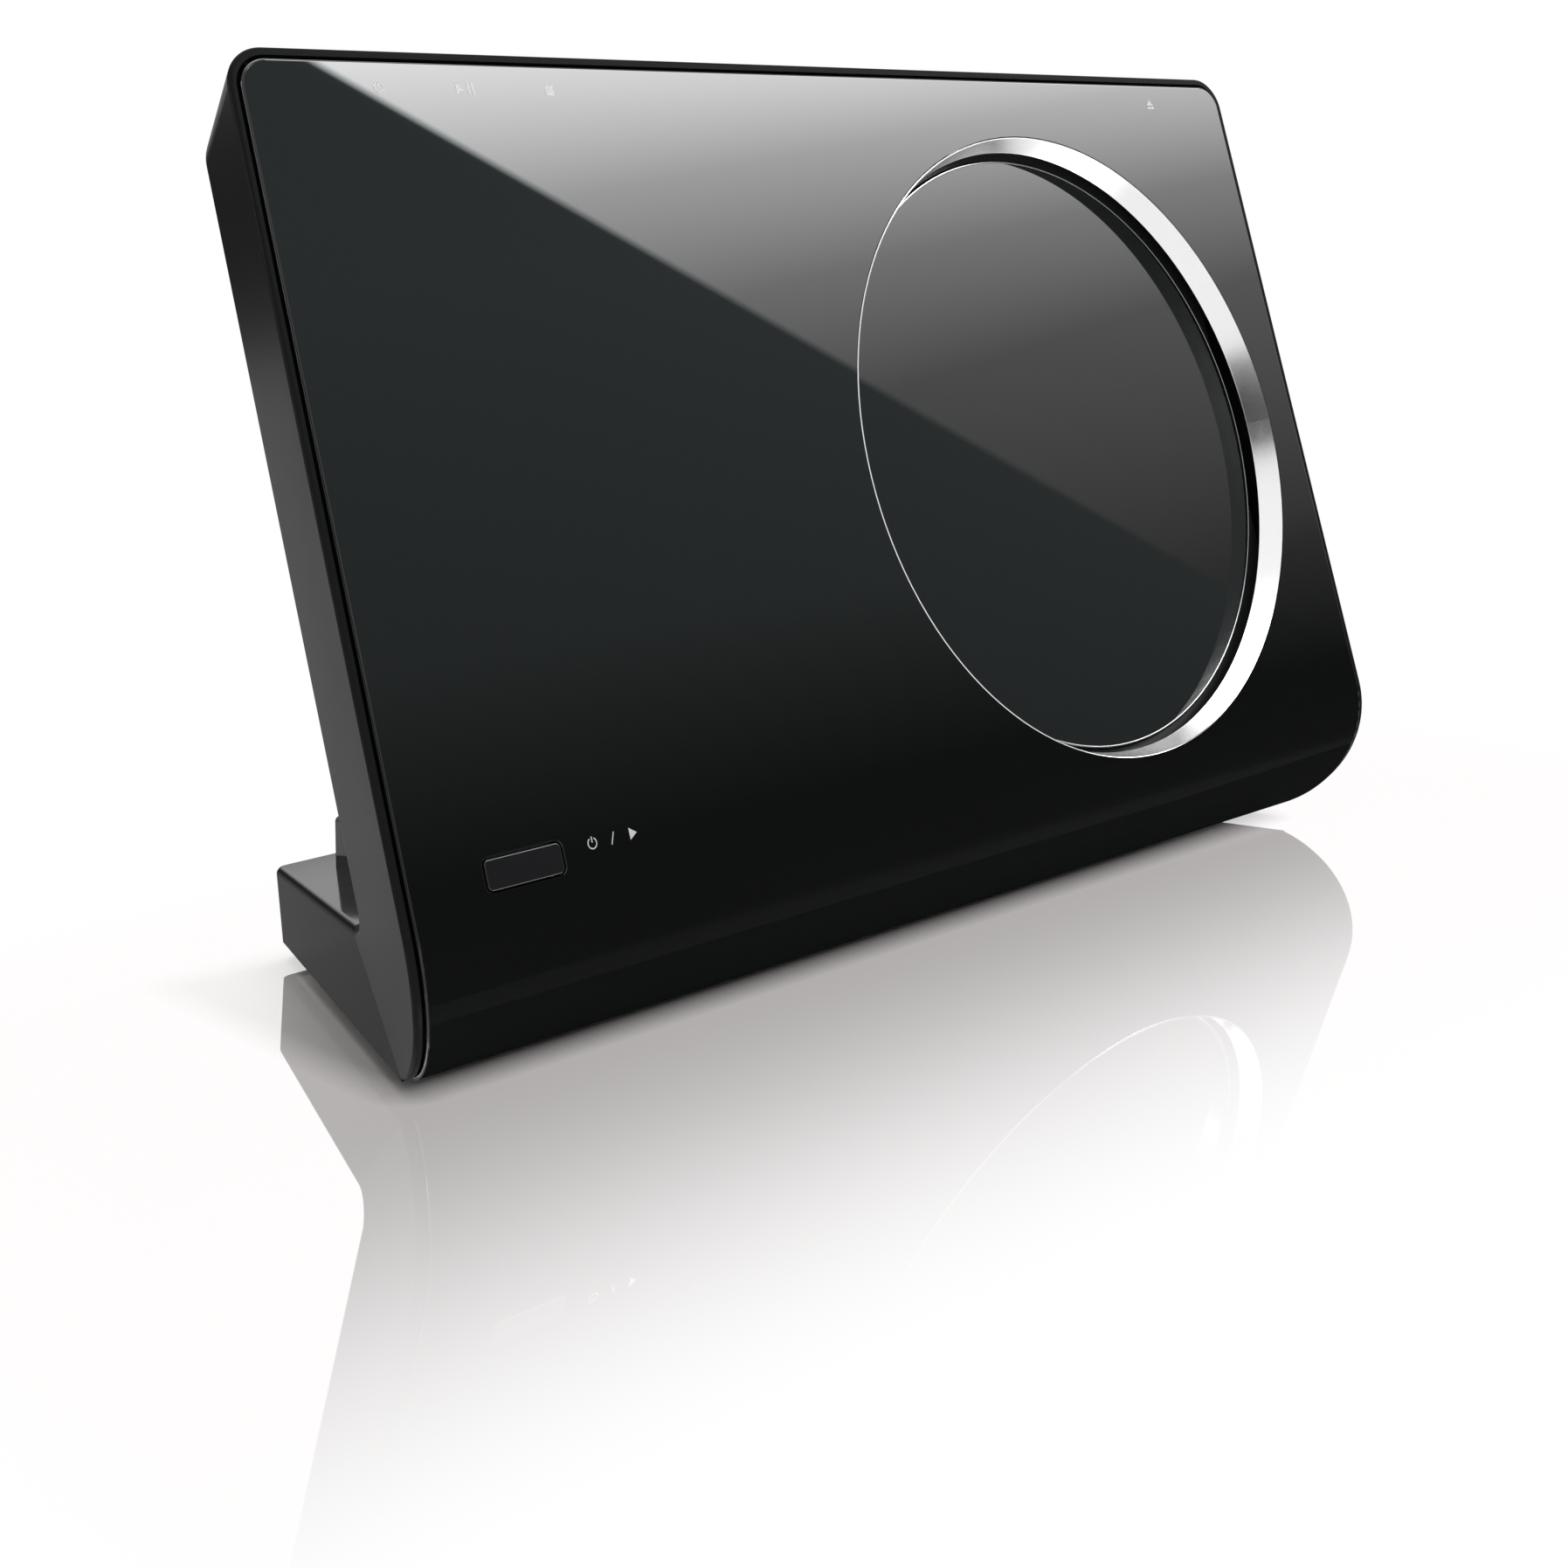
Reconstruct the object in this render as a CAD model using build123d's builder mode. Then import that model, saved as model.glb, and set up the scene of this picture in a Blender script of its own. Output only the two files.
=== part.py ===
from build123d import *

import os
from math import acos, cos, degrees, pi, radians, sin, sqrt, tan

# An upright disc player that leans back on its own stand. Its round door slides left behind the
# front panel. Millimetres and degrees, +Z up, front towards -Y, origin under the middle of the
# footprint on the floor.

# Driving dimensions of the casing
overall_width = 292.8
overall_depth = 96.5
lean_angle = 18.6
slab_thickness = 33.0
side_taper = 22.4
top_taper = 7.5
shell_wall = 2.6
cheek_wall = 3.4
lip_width = 2.4
lip_setback = 0.5
corner_radius = 8.0
rear_edge_radius = 1.4
lip_edge_radius = 0.7
panel_thickness = 2.5
panel_corner_radius = 5.6
panel_edge_radius = 0.5
panel_gap = 0.7
roll_radius = 26.0

# Driving dimensions of the stand and its jack housing
roll_lift = 1.5
stand_floor = 4.0
foot_radius = 6.0
front_foot_setback = 12.0
rear_foot_setback = 9.0
foot_inset = 24.5
stand_side_inset = 37.9
stand_rear_height = 15.9
stand_slope = 5.2
stand_neck_length = 8.0
stand_neck_radius = 4.2
stand_wall = 2.4
stand_corner_radius = 3.0
stand_edge_radius = 1.4
cover_thickness = 2.0
cover_gap = 0.3
cover_screw_inset = (11.5, 13.0)
cover_boss_radius = 3.5
jack_side_inset = 5.4
jack_housing_setback = 12.4
jack_housing_height = 27.6
jack_wall = 1.2
jack_edge_radius = 1.0
jack_plate_thickness = 2.0
seat_gap = 0.3

# Driving dimensions of the ring and the door
ring_radius = 72.3
ring_end_margin = 12.9
ring_foot_margin = 26.8
ring_top_margin = 13.7
ring_depth = 5.6
ring_face_width = 1.9
ring_proud = 0.1
ring_rim = 0.25
ring_flange_width = 1.5
ring_flange_thickness = 1.2
ring_flange_gap = 0.6
ring_gap = 0.25
door_rim_gap = 1.0
door_thickness = 1.6
door_gap = 2.1
door_edge_radius = 0.5
carrier_thickness = 1.5
carrier_end_inset = 1.0
carrier_edge = 3.6
carrier_window_radius = 24.0
carrier_rib = 8.0
rail_door_gap = 1.2
rail_width = 8.8
rail_gap = 0.3
rail_lip = 1.4

# Driving dimensions of the door's drive
gear_module = 1.0
pinion_teeth = 12
pressure_angle = 20.0
tooth_backlash = 0.24
tooth_addendum = 0.7
tooth_dedendum = 1.25
rack_height = 3.0
rack_back = 4.6
pinion_place = -65.0
pinion_rise = 15.0
pinion_neck_radius = 4.0
running_fit = 0.06
pulley_radius = 11.0
pulley_width = 2.4
motor_pulley_radius = 3.5
motor_spacing = 40.0
door_motor_radius = 11.0
belt_thickness = 1.2
belt_gap = 0.3

# Driving dimensions of the disc deck
deck_depth = 14.2
deck_thickness = 2.0
deck_side_gap = 10.8
deck_edge = 0.8
deck_corner_radius = 4.0
well_radius = 62.5
well_depth = 2.0
well_floor = 1.5
well_wall = 2.0
turntable_radius = 15.0
turntable_thickness = 1.4
hub_radius = 7.4
hub_height = 2.3
hub_chamfer = 0.8
hub_ball_radius = 0.8
hub_ball_count = 3
spindle_radius = 1.5
spindle_motor_radius = 14.0
spindle_motor_height = 6.0
sled_travel = 34.0
sled_home = -25.5
sled_length = 19.0
sled_width = 42.0
sled_thickness = 5.0
sled_corner_radius = 2.0
pickup_size = (11.0, 16.0)
pickup_corner_radius = 1.5
slot_end_gap = 0.6
slot_side_gap = 3.0
lens_radius = 3.4
lens_height = 0.6
rod_radius = 1.5
rod_offset = 16.0
rod_drop = 5.5
rod_left = -78.0
rod_right = -10.0
rod_post_length = 4.0
sled_motor_radius = 4.0
sled_motor_length = 12.0
damper_radius = 5.0
damper_height = 3.0
post_radius = 4.0
screw_radius = 1.2
screw_head_radius = 2.8
screw_head_height = 1.4
screw_bite = 3.6
left_post_place = (13.0, 52.0)
right_post_place = (16.4, 60.0)

# Driving dimensions of the boards
board_thickness = 1.6
main_board_inset = 22.5
main_board_gap = 2.5
main_board_height = 98.0
main_board_up = 10.0
main_board_depth = 22.0
board_post_radius = 3.0
board_post_inset = 5.0
chip_height = 2.2
chip_shares = [(-0.15, 0.14, 0.3), (0.25, 0.22, 0.15), (0.22, -0.14, 0.2)]
power_board_side_gap = 33.5
power_board_end_gap = 6.0
power_post_height = 3.0
transformer_size = (24.0, 22.0, 7.2)
transformer_place = -20.0
capacitor_radius = 4.0
capacitor_places = [10.0, 21.0, 32.0]
capacitor_height = 7.6
ir_window_size = (17.8, 6.2)
ir_window_corner = 1.5
ir_window_inset = 27.7
ir_window_rise = 6.7
ir_window_gap = 0.3
ir_window_edge_radius = 0.3
ir_window_flange = 1.2
ir_window_flange_thickness = 0.6
ir_board_size = (29.4, 9.0)
ir_board_shift = (-1.3, -2.8)
ir_board_depth = 6.2
ir_board_thickness = 1.2
ir_receiver_width = 5.0
status_lamp_radius = 1.5
ir_post_radius = 1.6
ir_post_spread = 12.5
ir_post_drop = 2.0

# Driving dimensions of the keys
key_end_inset = 31.4
key_pitch = 20.0
key_size = (14.0, 5.6)
key_proud = 0.6
key_gap = 0.3
key_flange = 1.4
key_flange_thickness = 1.0
key_travel = 0.8
key_edge_radius = 0.4
key_depth = 22.8
key_stem_radius = 1.5
key_board_drop = 9.0
key_board_end_gap = 20.4
key_board_width = 9.0
key_board_thickness = 1.2
key_switch_size = (6.0, 6.0, 3.4)
key_post_inset = 91.4
key_post_radius = 2.4

# Driving dimensions of the sockets
phono_end_inset = 35.1
phono_pitch = 14.0
phono_radius = 4.4
phono_flange = 1.0
phono_body_radius = 3.3
phono_body_length = 9.0
phono_pin_radius = 1.6
phono_barrel_radius = 4.1
phono_barrel_wall = 0.7
phono_barrel_length = 7.0
digital_socket_gap = 26.0
digital_socket_size = (15.0, 6.2)
digital_slot_size = (13.6, 4.6)
digital_tongue_size = (11.0, 1.2)
digital_socket_length = 11.0
digital_slot_depth = 9.0
inlet_end_inset = 33.1
inlet_size = (18.6, 7.4)
inlet_pocket_size = (16.0, 6.0)
inlet_length = 10.6
inlet_pocket_depth = 9.2
inlet_pin_radius = 1.2
inlet_pin_spacing = 8.6
inlet_pin_length = 8.0

# Vents in the back of the shell
vent_size = (26.0, 2.2)
vent_count = (4, 9)
vent_pitch = (34.0, 6.0)
vent_centre = (-10.0, 38.0)

# The side view, worked out from the driving dimensions
lean = radians(lean_angle)
half_width = overall_width / 2
rear_y = overall_depth / 2
panel_top = ring_radius + ring_top_margin
top_edge = panel_top + lip_width
ring_height = ring_radius + ring_foot_margin
ring_offset = half_width - ring_radius - ring_end_margin
left_end = -half_width - ring_offset
right_end = half_width - ring_offset
ring_z = roll_lift + ring_height
roll_up = (roll_radius - ring_height + roll_radius * sin(lean)) / cos(lean)
roll_y = roll_radius - rear_y
ring_y = roll_y - roll_up * sin(lean) - roll_radius * cos(lean)
roll_z = roll_lift + roll_radius
lip_roll_radius = roll_radius - lip_setback
roll_start_angle = 90 + lean_angle
roll_end_angle = degrees(acos((roll_z - stand_floor) / lip_roll_radius))
roll_middle_angle = (roll_start_angle + roll_end_angle) / 2
ring_inner_radius = ring_radius - ring_face_width
ring_flange_radius = ring_radius + ring_flange_width
door_radius = ring_inner_radius - door_rim_gap
carrier_half_length = door_radius - carrier_end_inset
carrier_half_height = door_radius + carrier_edge
rail_inner_edge = door_radius + rail_door_gap
rail_outer_edge = rail_inner_edge + rail_width
deck_half_height = rail_outer_edge + deck_edge
pinion_up = pinion_rise - carrier_half_height
ir_window_up = roll_up + ir_window_rise
stand_rear_width = overall_width - 2 * stand_side_inset
jack_housing_width = stand_rear_width - 2 * jack_side_inset
panel_face = Plane(origin=(ring_offset, ring_y, ring_z), x_dir=(1, 0, 0), z_dir=(0, -cos(lean), sin(lean)))
ring_axis = Axis(panel_face.origin, panel_face.z_dir)
ring_section = Plane(origin=panel_face.origin, x_dir=panel_face.x_dir, z_dir=-panel_face.y_dir)


def side(up, depth):
    """Point of the side view, at a distance up the panel from the ring's centre and a depth behind it."""
    return (ring_y + up * sin(lean) + depth * cos(lean), ring_z + up * cos(lean) - depth * sin(lean))


def roll_point(radius, angle):
    """Point of the side view on the rolled lower edge, at an angle before its lowest point."""
    return (roll_y - radius * sin(radians(angle)), roll_z - radius * cos(radians(angle)))


def top_line(depth, inset):
    """How far up the panel the sloping top lies at a depth."""
    return top_edge - depth * tan(radians(top_taper)) - inset / cos(radians(top_taper))


def stand_top(y):
    """Height of the stand's sloping top."""
    return stand_floor + stand_rear_height + (rear_y - y) * tan(radians(stand_slope))


def layer(depth):
    """Plane at a depth behind the panel's face, looking out to the front."""
    return panel_face.offset(-depth)


def crossing(start, along, other, across):
    """Point where two lines of the side view cross."""
    spread = along[0] * across[1] - along[1] * across[0]
    reach = ((other[0] - start[0]) * across[1] - (other[1] - start[1]) * across[0]) / spread
    return (start[0] + along[0] * reach, start[1] + along[1] * reach)


up_way = (sin(lean), cos(lean))
slope_way = (cos(radians(stand_slope)), -sin(radians(stand_slope)))
roll_end = roll_point(lip_roll_radius, roll_end_angle)
stand_knee = crossing(side(0, slab_thickness), up_way, (rear_y, stand_top(rear_y)), slope_way)
stand_joint = (stand_knee[0] + stand_neck_length, stand_top(stand_knee[0] + stand_neck_length))
foot_span = sqrt((stand_joint[0] - roll_end[0]) ** 2 + (stand_joint[1] - roll_end[1]) ** 2)
foot_way = ((stand_joint[0] - roll_end[0]) / foot_span, (stand_joint[1] - roll_end[1]) / foot_span)
foot_normal = (-foot_way[1], foot_way[0])


def cheek_x(y, z):
    """Half the body's width at a point of the side view."""
    depth = (y - ring_y) * cos(lean) - (z - ring_z) * sin(lean)
    return half_width - depth * tan(radians(side_taper))


def cheek(way, inset):
    """Plane of a tapered cheek of the body, looking out, right for 1 and left for -1."""
    taper = radians(side_taper)
    out = (way * cos(taper), sin(taper) * cos(lean), -sin(taper) * sin(lean))
    return Plane(origin=(way * (half_width - inset), ring_y, ring_z), z_dir=out)


def stand_cheek(way, inset):
    """Plane of the stand's side, which meets the body's cheek along the crease."""
    front = Vector(cheek_x(*roll_end), *roll_end)
    joint = Vector(cheek_x(*stand_joint), *stand_joint)
    rear = Vector(stand_rear_width / 2, rear_y, stand_floor)
    out = (rear - front).cross(joint - front).normalized()
    return Plane(origin=(way * (front.X - inset), front.Y, front.Z), z_dir=(way * out.X, out.Y, out.Z))


def trim_sides(side_plane, inset):
    """Cuts the part being built along its two tapered sides."""
    for way in (-1, 1):
        split(bisect_by=side_plane(way, inset), keep=Keep.BOTTOM)


def panel_profile(front, back, grow):
    """Side view of the J-shaped front plate between two depths, grown at its top edge."""
    outer_end = roll_point(roll_radius - front, roll_end_angle)
    inner_end = roll_point(roll_radius - back, roll_end_angle)
    top = panel_top + grow
    with BuildSketch(Plane.YZ) as profile:
        with BuildLine():
            Polyline(side(roll_up, front), side(top, front), side(top, back), side(roll_up, back))
            ThreePointArc(side(roll_up, back), roll_point(roll_radius - back, roll_middle_angle), inner_end)
            Line(inner_end, outer_end)
            ThreePointArc(outer_end, roll_point(roll_radius - front, roll_middle_angle), side(roll_up, front))
        make_face()
    return profile.sketch


def body_profile():
    """Side view of the leaning body behind the panel, with its curve into the stand."""
    front = lip_setback
    back = slab_thickness
    with BuildSketch(Plane.YZ) as profile:
        with BuildLine():
            Polyline(
                side(roll_up, front),
                side(top_line(front, 0), front),
                side(top_line(back, 0), back),
                stand_knee,
                stand_joint,
                roll_end,
            )
            ThreePointArc(roll_end, roll_point(lip_roll_radius, roll_middle_angle), side(roll_up, front))
        make_face()
        fillet(profile.vertices().sort_by_distance(stand_knee)[0], radius=stand_neck_radius)
    return profile.sketch


def cavity_profile():
    """Side view of the hollow inside the body, open towards the panel."""
    front = panel_thickness
    back = slab_thickness - shell_wall
    radius = roll_radius - front
    start = (roll_end[0] + foot_normal[0] * shell_wall, roll_end[1] + foot_normal[1] * shell_wall)
    offset_to_line = (start[0] - roll_y) * foot_normal[0] + (start[1] - roll_z) * foot_normal[1]
    half_chord = sqrt(radius**2 - offset_to_line**2)
    arc_end = (
        roll_y + foot_normal[0] * offset_to_line - foot_way[0] * half_chord,
        roll_z + foot_normal[1] * offset_to_line - foot_way[1] * half_chord,
    )
    arc_end_angle = degrees(acos((roll_z - arc_end[1]) / radius))
    arc_middle = roll_point(radius, (roll_start_angle + arc_end_angle) / 2)
    with BuildSketch(Plane.YZ) as profile:
        with BuildLine():
            Polyline(
                side(roll_up, front),
                side(top_line(front, shell_wall), front),
                side(top_line(back, shell_wall), back),
                crossing(side(0, back), up_way, start, foot_way),
                arc_end,
            )
            ThreePointArc(arc_end, arc_middle, side(roll_up, front))
        make_face()
    return profile.sketch


def stand_profile():
    """Side view of the stand behind the crease."""
    with BuildSketch(Plane.YZ) as profile:
        with BuildLine():
            Polyline(
                roll_end,
                (rear_y, stand_floor),
                (rear_y, stand_top(rear_y)),
                stand_joint,
                close=True,
            )
        make_face()
    return profile.sketch


def stand_hollow_profile(inset):
    """Side view of the hollow under the stand, open below."""
    front = stand_joint[0] + inset
    back = rear_y - inset
    with BuildSketch(Plane.YZ) as profile:
        with BuildLine():
            Polyline(
                (front, 0),
                (back, 0),
                (back, stand_top(back) - inset),
                (front, stand_top(front) - inset),
                close=True,
            )
        make_face()
    return profile.sketch


os.makedirs("parts", exist_ok=True)

# Front panel, a gloss plate that rolls under at its lower edge
ir_window_centre = (left_end + ir_window_inset, ir_window_up)
ir_board_centre = (ir_window_centre[0] + ir_board_shift[0], ir_window_up + ir_board_shift[1])
ir_post_up = ir_board_centre[1] - ir_post_drop
ir_posts = [(ir_board_centre[0] + reach, ir_post_up) for reach in (-ir_post_spread, ir_post_spread)]
with BuildPart() as front_panel:
    extrude(panel_profile(0, panel_thickness, 0), amount=half_width, both=True)
    trim_sides(cheek, lip_width)
    top_face = front_panel.faces().sort_by(Axis.Z)[-1]
    fillet(top_face.edges().filter_by(Axis.X, reverse=True), radius=panel_corner_radius)
    show_face = front_panel.faces().filter_by(panel_face).sort_by(ring_axis)[-1]
    roll_skin = front_panel.faces().filter_by(GeomType.CYLINDER).sort_by(Axis.Y)[0]
    show_edges = show_face.edges().sort_by(Axis.Z)[1:]
    fillet(show_edges + roll_skin.edges().filter_by(Axis.X, reverse=True), radius=panel_edge_radius)
    with BuildSketch(panel_face):
        with Locations(ir_window_centre):
            RectangleRounded(*ir_window_size, ir_window_corner)
    extrude(amount=-2 * panel_thickness, mode=Mode.SUBTRACT)
    window_face = front_panel.faces().filter_by(panel_face).sort_by(ring_axis)[-1]
    fillet(window_face.inner_wires()[0].edges(), radius=ir_window_edge_radius)
    with BuildSketch(panel_face):
        Circle(ring_radius + ring_gap)
    extrude(amount=-2 * panel_thickness, mode=Mode.SUBTRACT)
    with BuildSketch(layer(panel_thickness)):
        with Locations(*ir_posts):
            Circle(ir_post_radius)
    extrude(amount=panel_thickness - ir_board_depth)
front_panel.part.label = "front_panel"
export_step(front_panel.part, "parts/front_panel.step")

# Recess in the shell that holds the panel inside the lip
with BuildPart() as panel_pocket:
    extrude(panel_profile(-panel_thickness, panel_thickness, panel_gap), amount=half_width, both=True)
    trim_sides(cheek, lip_width - panel_gap)
    pocket_top = panel_pocket.faces().sort_by(Axis.Z)[-1]
    fillet(pocket_top.edges().filter_by(Axis.X, reverse=True), radius=panel_corner_radius + panel_gap)

# Hollow of the body
with BuildPart() as body_cavity:
    extrude(cavity_profile(), amount=half_width, both=True)
    trim_sides(cheek, cheek_wall)

# Rear shell, a tapered tub whose rim is the lip round the panel
key_plane = Plane(
    origin=(0, *side(top_line(key_depth, 0), key_depth)),
    x_dir=(1, 0, 0),
    z_dir=(0, sin(lean + radians(top_taper)), cos(lean + radians(top_taper))),
)
cavity_back = slab_thickness - shell_wall
key_places = {
    "standby_button": key_end_inset - half_width,
    "play_button": key_end_inset + key_pitch - half_width,
    "stop_button": key_end_inset + 2 * key_pitch - half_width,
    "open_button": half_width - key_end_inset,
}
key_post_place = half_width - key_post_inset
deck_left = left_end + deck_side_gap
deck_right = right_end - deck_side_gap
deck_posts = [(deck_left + left_post_place[0], way * left_post_place[1]) for way in (-1, 1)]
deck_posts += [(deck_right - right_post_place[0], way * right_post_place[1]) for way in (-1, 1)]
main_board_left = deck_left + main_board_inset
main_board_right = rod_left - rod_post_length / 2 - sled_motor_length - main_board_gap
main_board_size = (main_board_right - main_board_left, main_board_height)
main_board_centre = ((main_board_left + main_board_right) / 2, main_board_up)
board_posts = [
    (main_board_centre[0] + across * (main_board_size[0] / 2 - board_post_inset),
     main_board_centre[1] + up * (main_board_size[1] / 2 - board_post_inset))
    for across in (-1, 1)
    for up in (-1, 1)
]
with BuildPart() as rear_shell:
    extrude(body_profile(), amount=half_width, both=True)
    trim_sides(cheek, 0)
    shell_top = rear_shell.faces().sort_by(Axis.Z)[-1]
    fillet(shell_top.edges().filter_by(Axis.X, reverse=True), radius=corner_radius)
    rim_face = rear_shell.faces().filter_by(panel_face).sort_by(ring_axis)[-1]
    roll_face = rear_shell.faces().filter_by(GeomType.CYLINDER).sort_by(Axis.Y)[0]
    rim_ends = (rim_face.edges() + roll_face.edges()).filter_by(Axis.X, reverse=True)
    fillet(rim_ends + rim_face.edges().sort_by(Axis.Z)[-1:], radius=lip_edge_radius)
    back_face = rear_shell.faces().filter_by(panel_face).sort_by(ring_axis)[0]
    fillet(back_face.edges().sort_by(Axis.Z)[1:], radius=rear_edge_radius)
    add(body_cavity.part, mode=Mode.SUBTRACT)
    add(panel_pocket.part, mode=Mode.SUBTRACT)
    with BuildSketch(layer(slab_thickness)):
        with Locations(vent_centre):
            with GridLocations(*vent_pitch, *vent_count):
                SlotOverall(*vent_size)
    extrude(amount=2 * shell_wall, mode=Mode.SUBTRACT)
    with BuildSketch(layer(cavity_back)):
        with Locations(*deck_posts):
            Circle(post_radius)
            Circle(screw_radius + running_fit, mode=Mode.SUBTRACT)
    extrude(amount=cavity_back - deck_depth - deck_thickness - damper_height)
    with BuildSketch(layer(cavity_back)):
        with Locations(*board_posts):
            Circle(board_post_radius)
    extrude(amount=cavity_back - main_board_depth - board_thickness)
    with BuildSketch(key_plane.offset(-shell_wall)):
        with Locations((-key_post_place, 0), (key_post_place, 0)):
            Circle(key_post_radius)
    extrude(amount=shell_wall - key_board_drop)
    with BuildSketch(key_plane):
        with Locations(*[(place, 0) for place in key_places.values()]):
            SlotOverall(key_size[0] + 2 * key_gap, key_size[1] + 2 * key_gap)
    extrude(amount=-2 * shell_wall, mode=Mode.SUBTRACT)
rear_shell.part.label = "rear_shell"
export_step(rear_shell.part, "parts/rear_shell.step")

# Stand, a wedge whose sides carry on from the cheeks below the crease
with BuildPart() as stand_hollow:
    extrude(stand_hollow_profile(stand_wall), amount=half_width, both=True)
    trim_sides(stand_cheek, stand_wall)
foot_spread = stand_rear_width / 2 - foot_inset
stand_feet = [
    (across * foot_spread, y)
    for across in (-1, 1)
    for y in (roll_y + front_foot_setback, rear_y - rear_foot_setback)
]
power_board_y = (stand_joint[0] + rear_y) / 2
stand_half_length = (rear_y - stand_joint[0]) / 2
power_board_size = (
    stand_rear_width - 2 * power_board_side_gap,
    2 * (stand_half_length - stand_wall - power_board_end_gap),
)
cover_screws = [
    (across * (stand_rear_width / 2 - cover_screw_inset[0]),
     power_board_y + along * (stand_half_length - cover_screw_inset[1]))
    for across in (-1, 1)
    for along in (-1, 1)
]
with BuildPart() as stand_base:
    extrude(stand_profile(), amount=half_width, both=True)
    trim_sides(stand_cheek, 0)
    stand_rear = stand_base.faces().sort_by(Axis.Y)[-1]
    fillet(stand_rear.edges().filter_by(Axis.X, reverse=True), radius=stand_corner_radius)
    stand_lid = stand_base.faces().filter_by(Plane.XY.rotated((-stand_slope, 0, 0))).sort_by(Axis.Z)[-1]
    fillet(stand_lid.edges().sort_by(Axis.Y)[1:], radius=stand_edge_radius)
    add(stand_hollow.part, mode=Mode.SUBTRACT)
    with BuildSketch(Plane.XY.offset(stand_floor + cover_thickness)):
        with Locations(*cover_screws):
            Circle(cover_boss_radius)
    extrude(until=Until.NEXT)
    with BuildSketch(Plane.XY.offset(stand_floor + cover_thickness)):
        with Locations(*cover_screws):
            Circle(screw_radius + running_fit)
    extrude(amount=screw_bite + seat_gap, mode=Mode.SUBTRACT)
stand_base.part.label = "stand_base"
export_step(stand_base.part, "parts/stand_base.step")

# Base cover, which closes the stand from below and carries the power board
power_posts = [
    (across * (power_board_size[0] / 2 - board_post_inset),
     power_board_y + along * (power_board_size[1] / 2 - board_post_inset))
    for across in (-1, 1)
    for along in (-1, 1)
]
with BuildPart() as base_cover:
    extrude(stand_hollow_profile(stand_wall + cover_gap), amount=half_width, both=True)
    trim_sides(stand_cheek, stand_wall + cover_gap)
    split(bisect_by=Plane.XY.offset(stand_floor), keep=Keep.TOP)
    split(bisect_by=Plane.XY.offset(stand_floor + cover_thickness), keep=Keep.BOTTOM)
    with BuildSketch(Plane.XY.offset(stand_floor + cover_thickness)):
        with Locations(*power_posts):
            Circle(board_post_radius)
    extrude(amount=power_post_height)
    with BuildSketch(Plane.XY.offset(stand_floor)):
        with Locations(*cover_screws):
            Circle(screw_head_radius + running_fit)
    extrude(amount=screw_head_height, mode=Mode.SUBTRACT)
    with BuildSketch(Plane.XY.offset(stand_floor)):
        with Locations(*cover_screws):
            Circle(screw_radius + running_fit)
    extrude(amount=cover_thickness, mode=Mode.SUBTRACT)
base_cover.part.label = "base_cover"
export_step(base_cover.part, "parts/base_cover.step")

# Rubber feet, the faces that the player stands on
with BuildPart() as rubber_feet:
    with BuildSketch(Plane.XY):
        with Locations(*stand_feet):
            Circle(foot_radius)
    extrude(amount=stand_floor)
rubber_feet.part.label = "rubber_feet"
export_step(rubber_feet.part, "parts/rubber_feet.step")

# Bezel ring, a steep bright cone round the door's opening, flanged behind the panel
flange_front = panel_thickness + ring_flange_gap
with BuildPart() as bezel_ring:
    with BuildSketch(ring_section):
        with BuildLine():
            Polyline(
                (ring_radius, ring_proud - ring_rim / 2),
                (ring_radius - ring_rim / 2, ring_proud),
                (ring_radius - ring_rim, ring_proud),
                (ring_inner_radius + ring_rim / 3, ring_rim - ring_depth),
                (ring_inner_radius, -ring_depth),
                (ring_radius, -ring_depth),
                (ring_radius, -flange_front - ring_flange_thickness),
                (ring_flange_radius, -flange_front - ring_flange_thickness),
                (ring_flange_radius, -flange_front),
                (ring_radius, -flange_front),
                close=True,
            )
        make_face()
    revolve(axis=ring_axis)
bezel_ring.part.label = "bezel_ring"
export_step(bezel_ring.part, "parts/bezel_ring.step")

# Infrared window, set in the panel from behind
with BuildPart() as ir_window:
    with BuildSketch(panel_face):
        with Locations(ir_window_centre):
            RectangleRounded(
                ir_window_size[0] - 2 * ir_window_gap,
                ir_window_size[1] - 2 * ir_window_gap,
                ir_window_corner - ir_window_gap,
            )
    extrude(amount=-panel_thickness)
    fillet(ir_window.edges().group_by(ring_axis)[-1], radius=ir_window_edge_radius)
    with BuildSketch(layer(panel_thickness)):
        with Locations(ir_window_centre):
            RectangleRounded(
                ir_window_size[0] + ir_window_flange,
                ir_window_size[1] + ir_window_flange,
                ir_window_corner,
            )
    extrude(amount=-ir_window_flange_thickness)
ir_window.part.label = "ir_window"
export_step(ir_window.part, "parts/ir_window.step")

# Door, a gloss disc just behind the ring, on a carrier that slides in two rails
door_depth = ring_depth + door_gap
carrier_depth = door_depth + door_thickness
rack_depth = carrier_depth + carrier_thickness
carrier_pitch = 2 * carrier_window_radius + carrier_rib
with BuildPart() as door_panel:
    with BuildSketch(layer(door_depth)):
        Circle(door_radius)
    extrude(amount=-door_thickness)
    fillet(door_panel.edges().sort_by(ring_axis)[-1], radius=door_edge_radius)
door_panel.part.label = "door_panel"
export_step(door_panel.part, "parts/door_panel.step")

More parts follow.
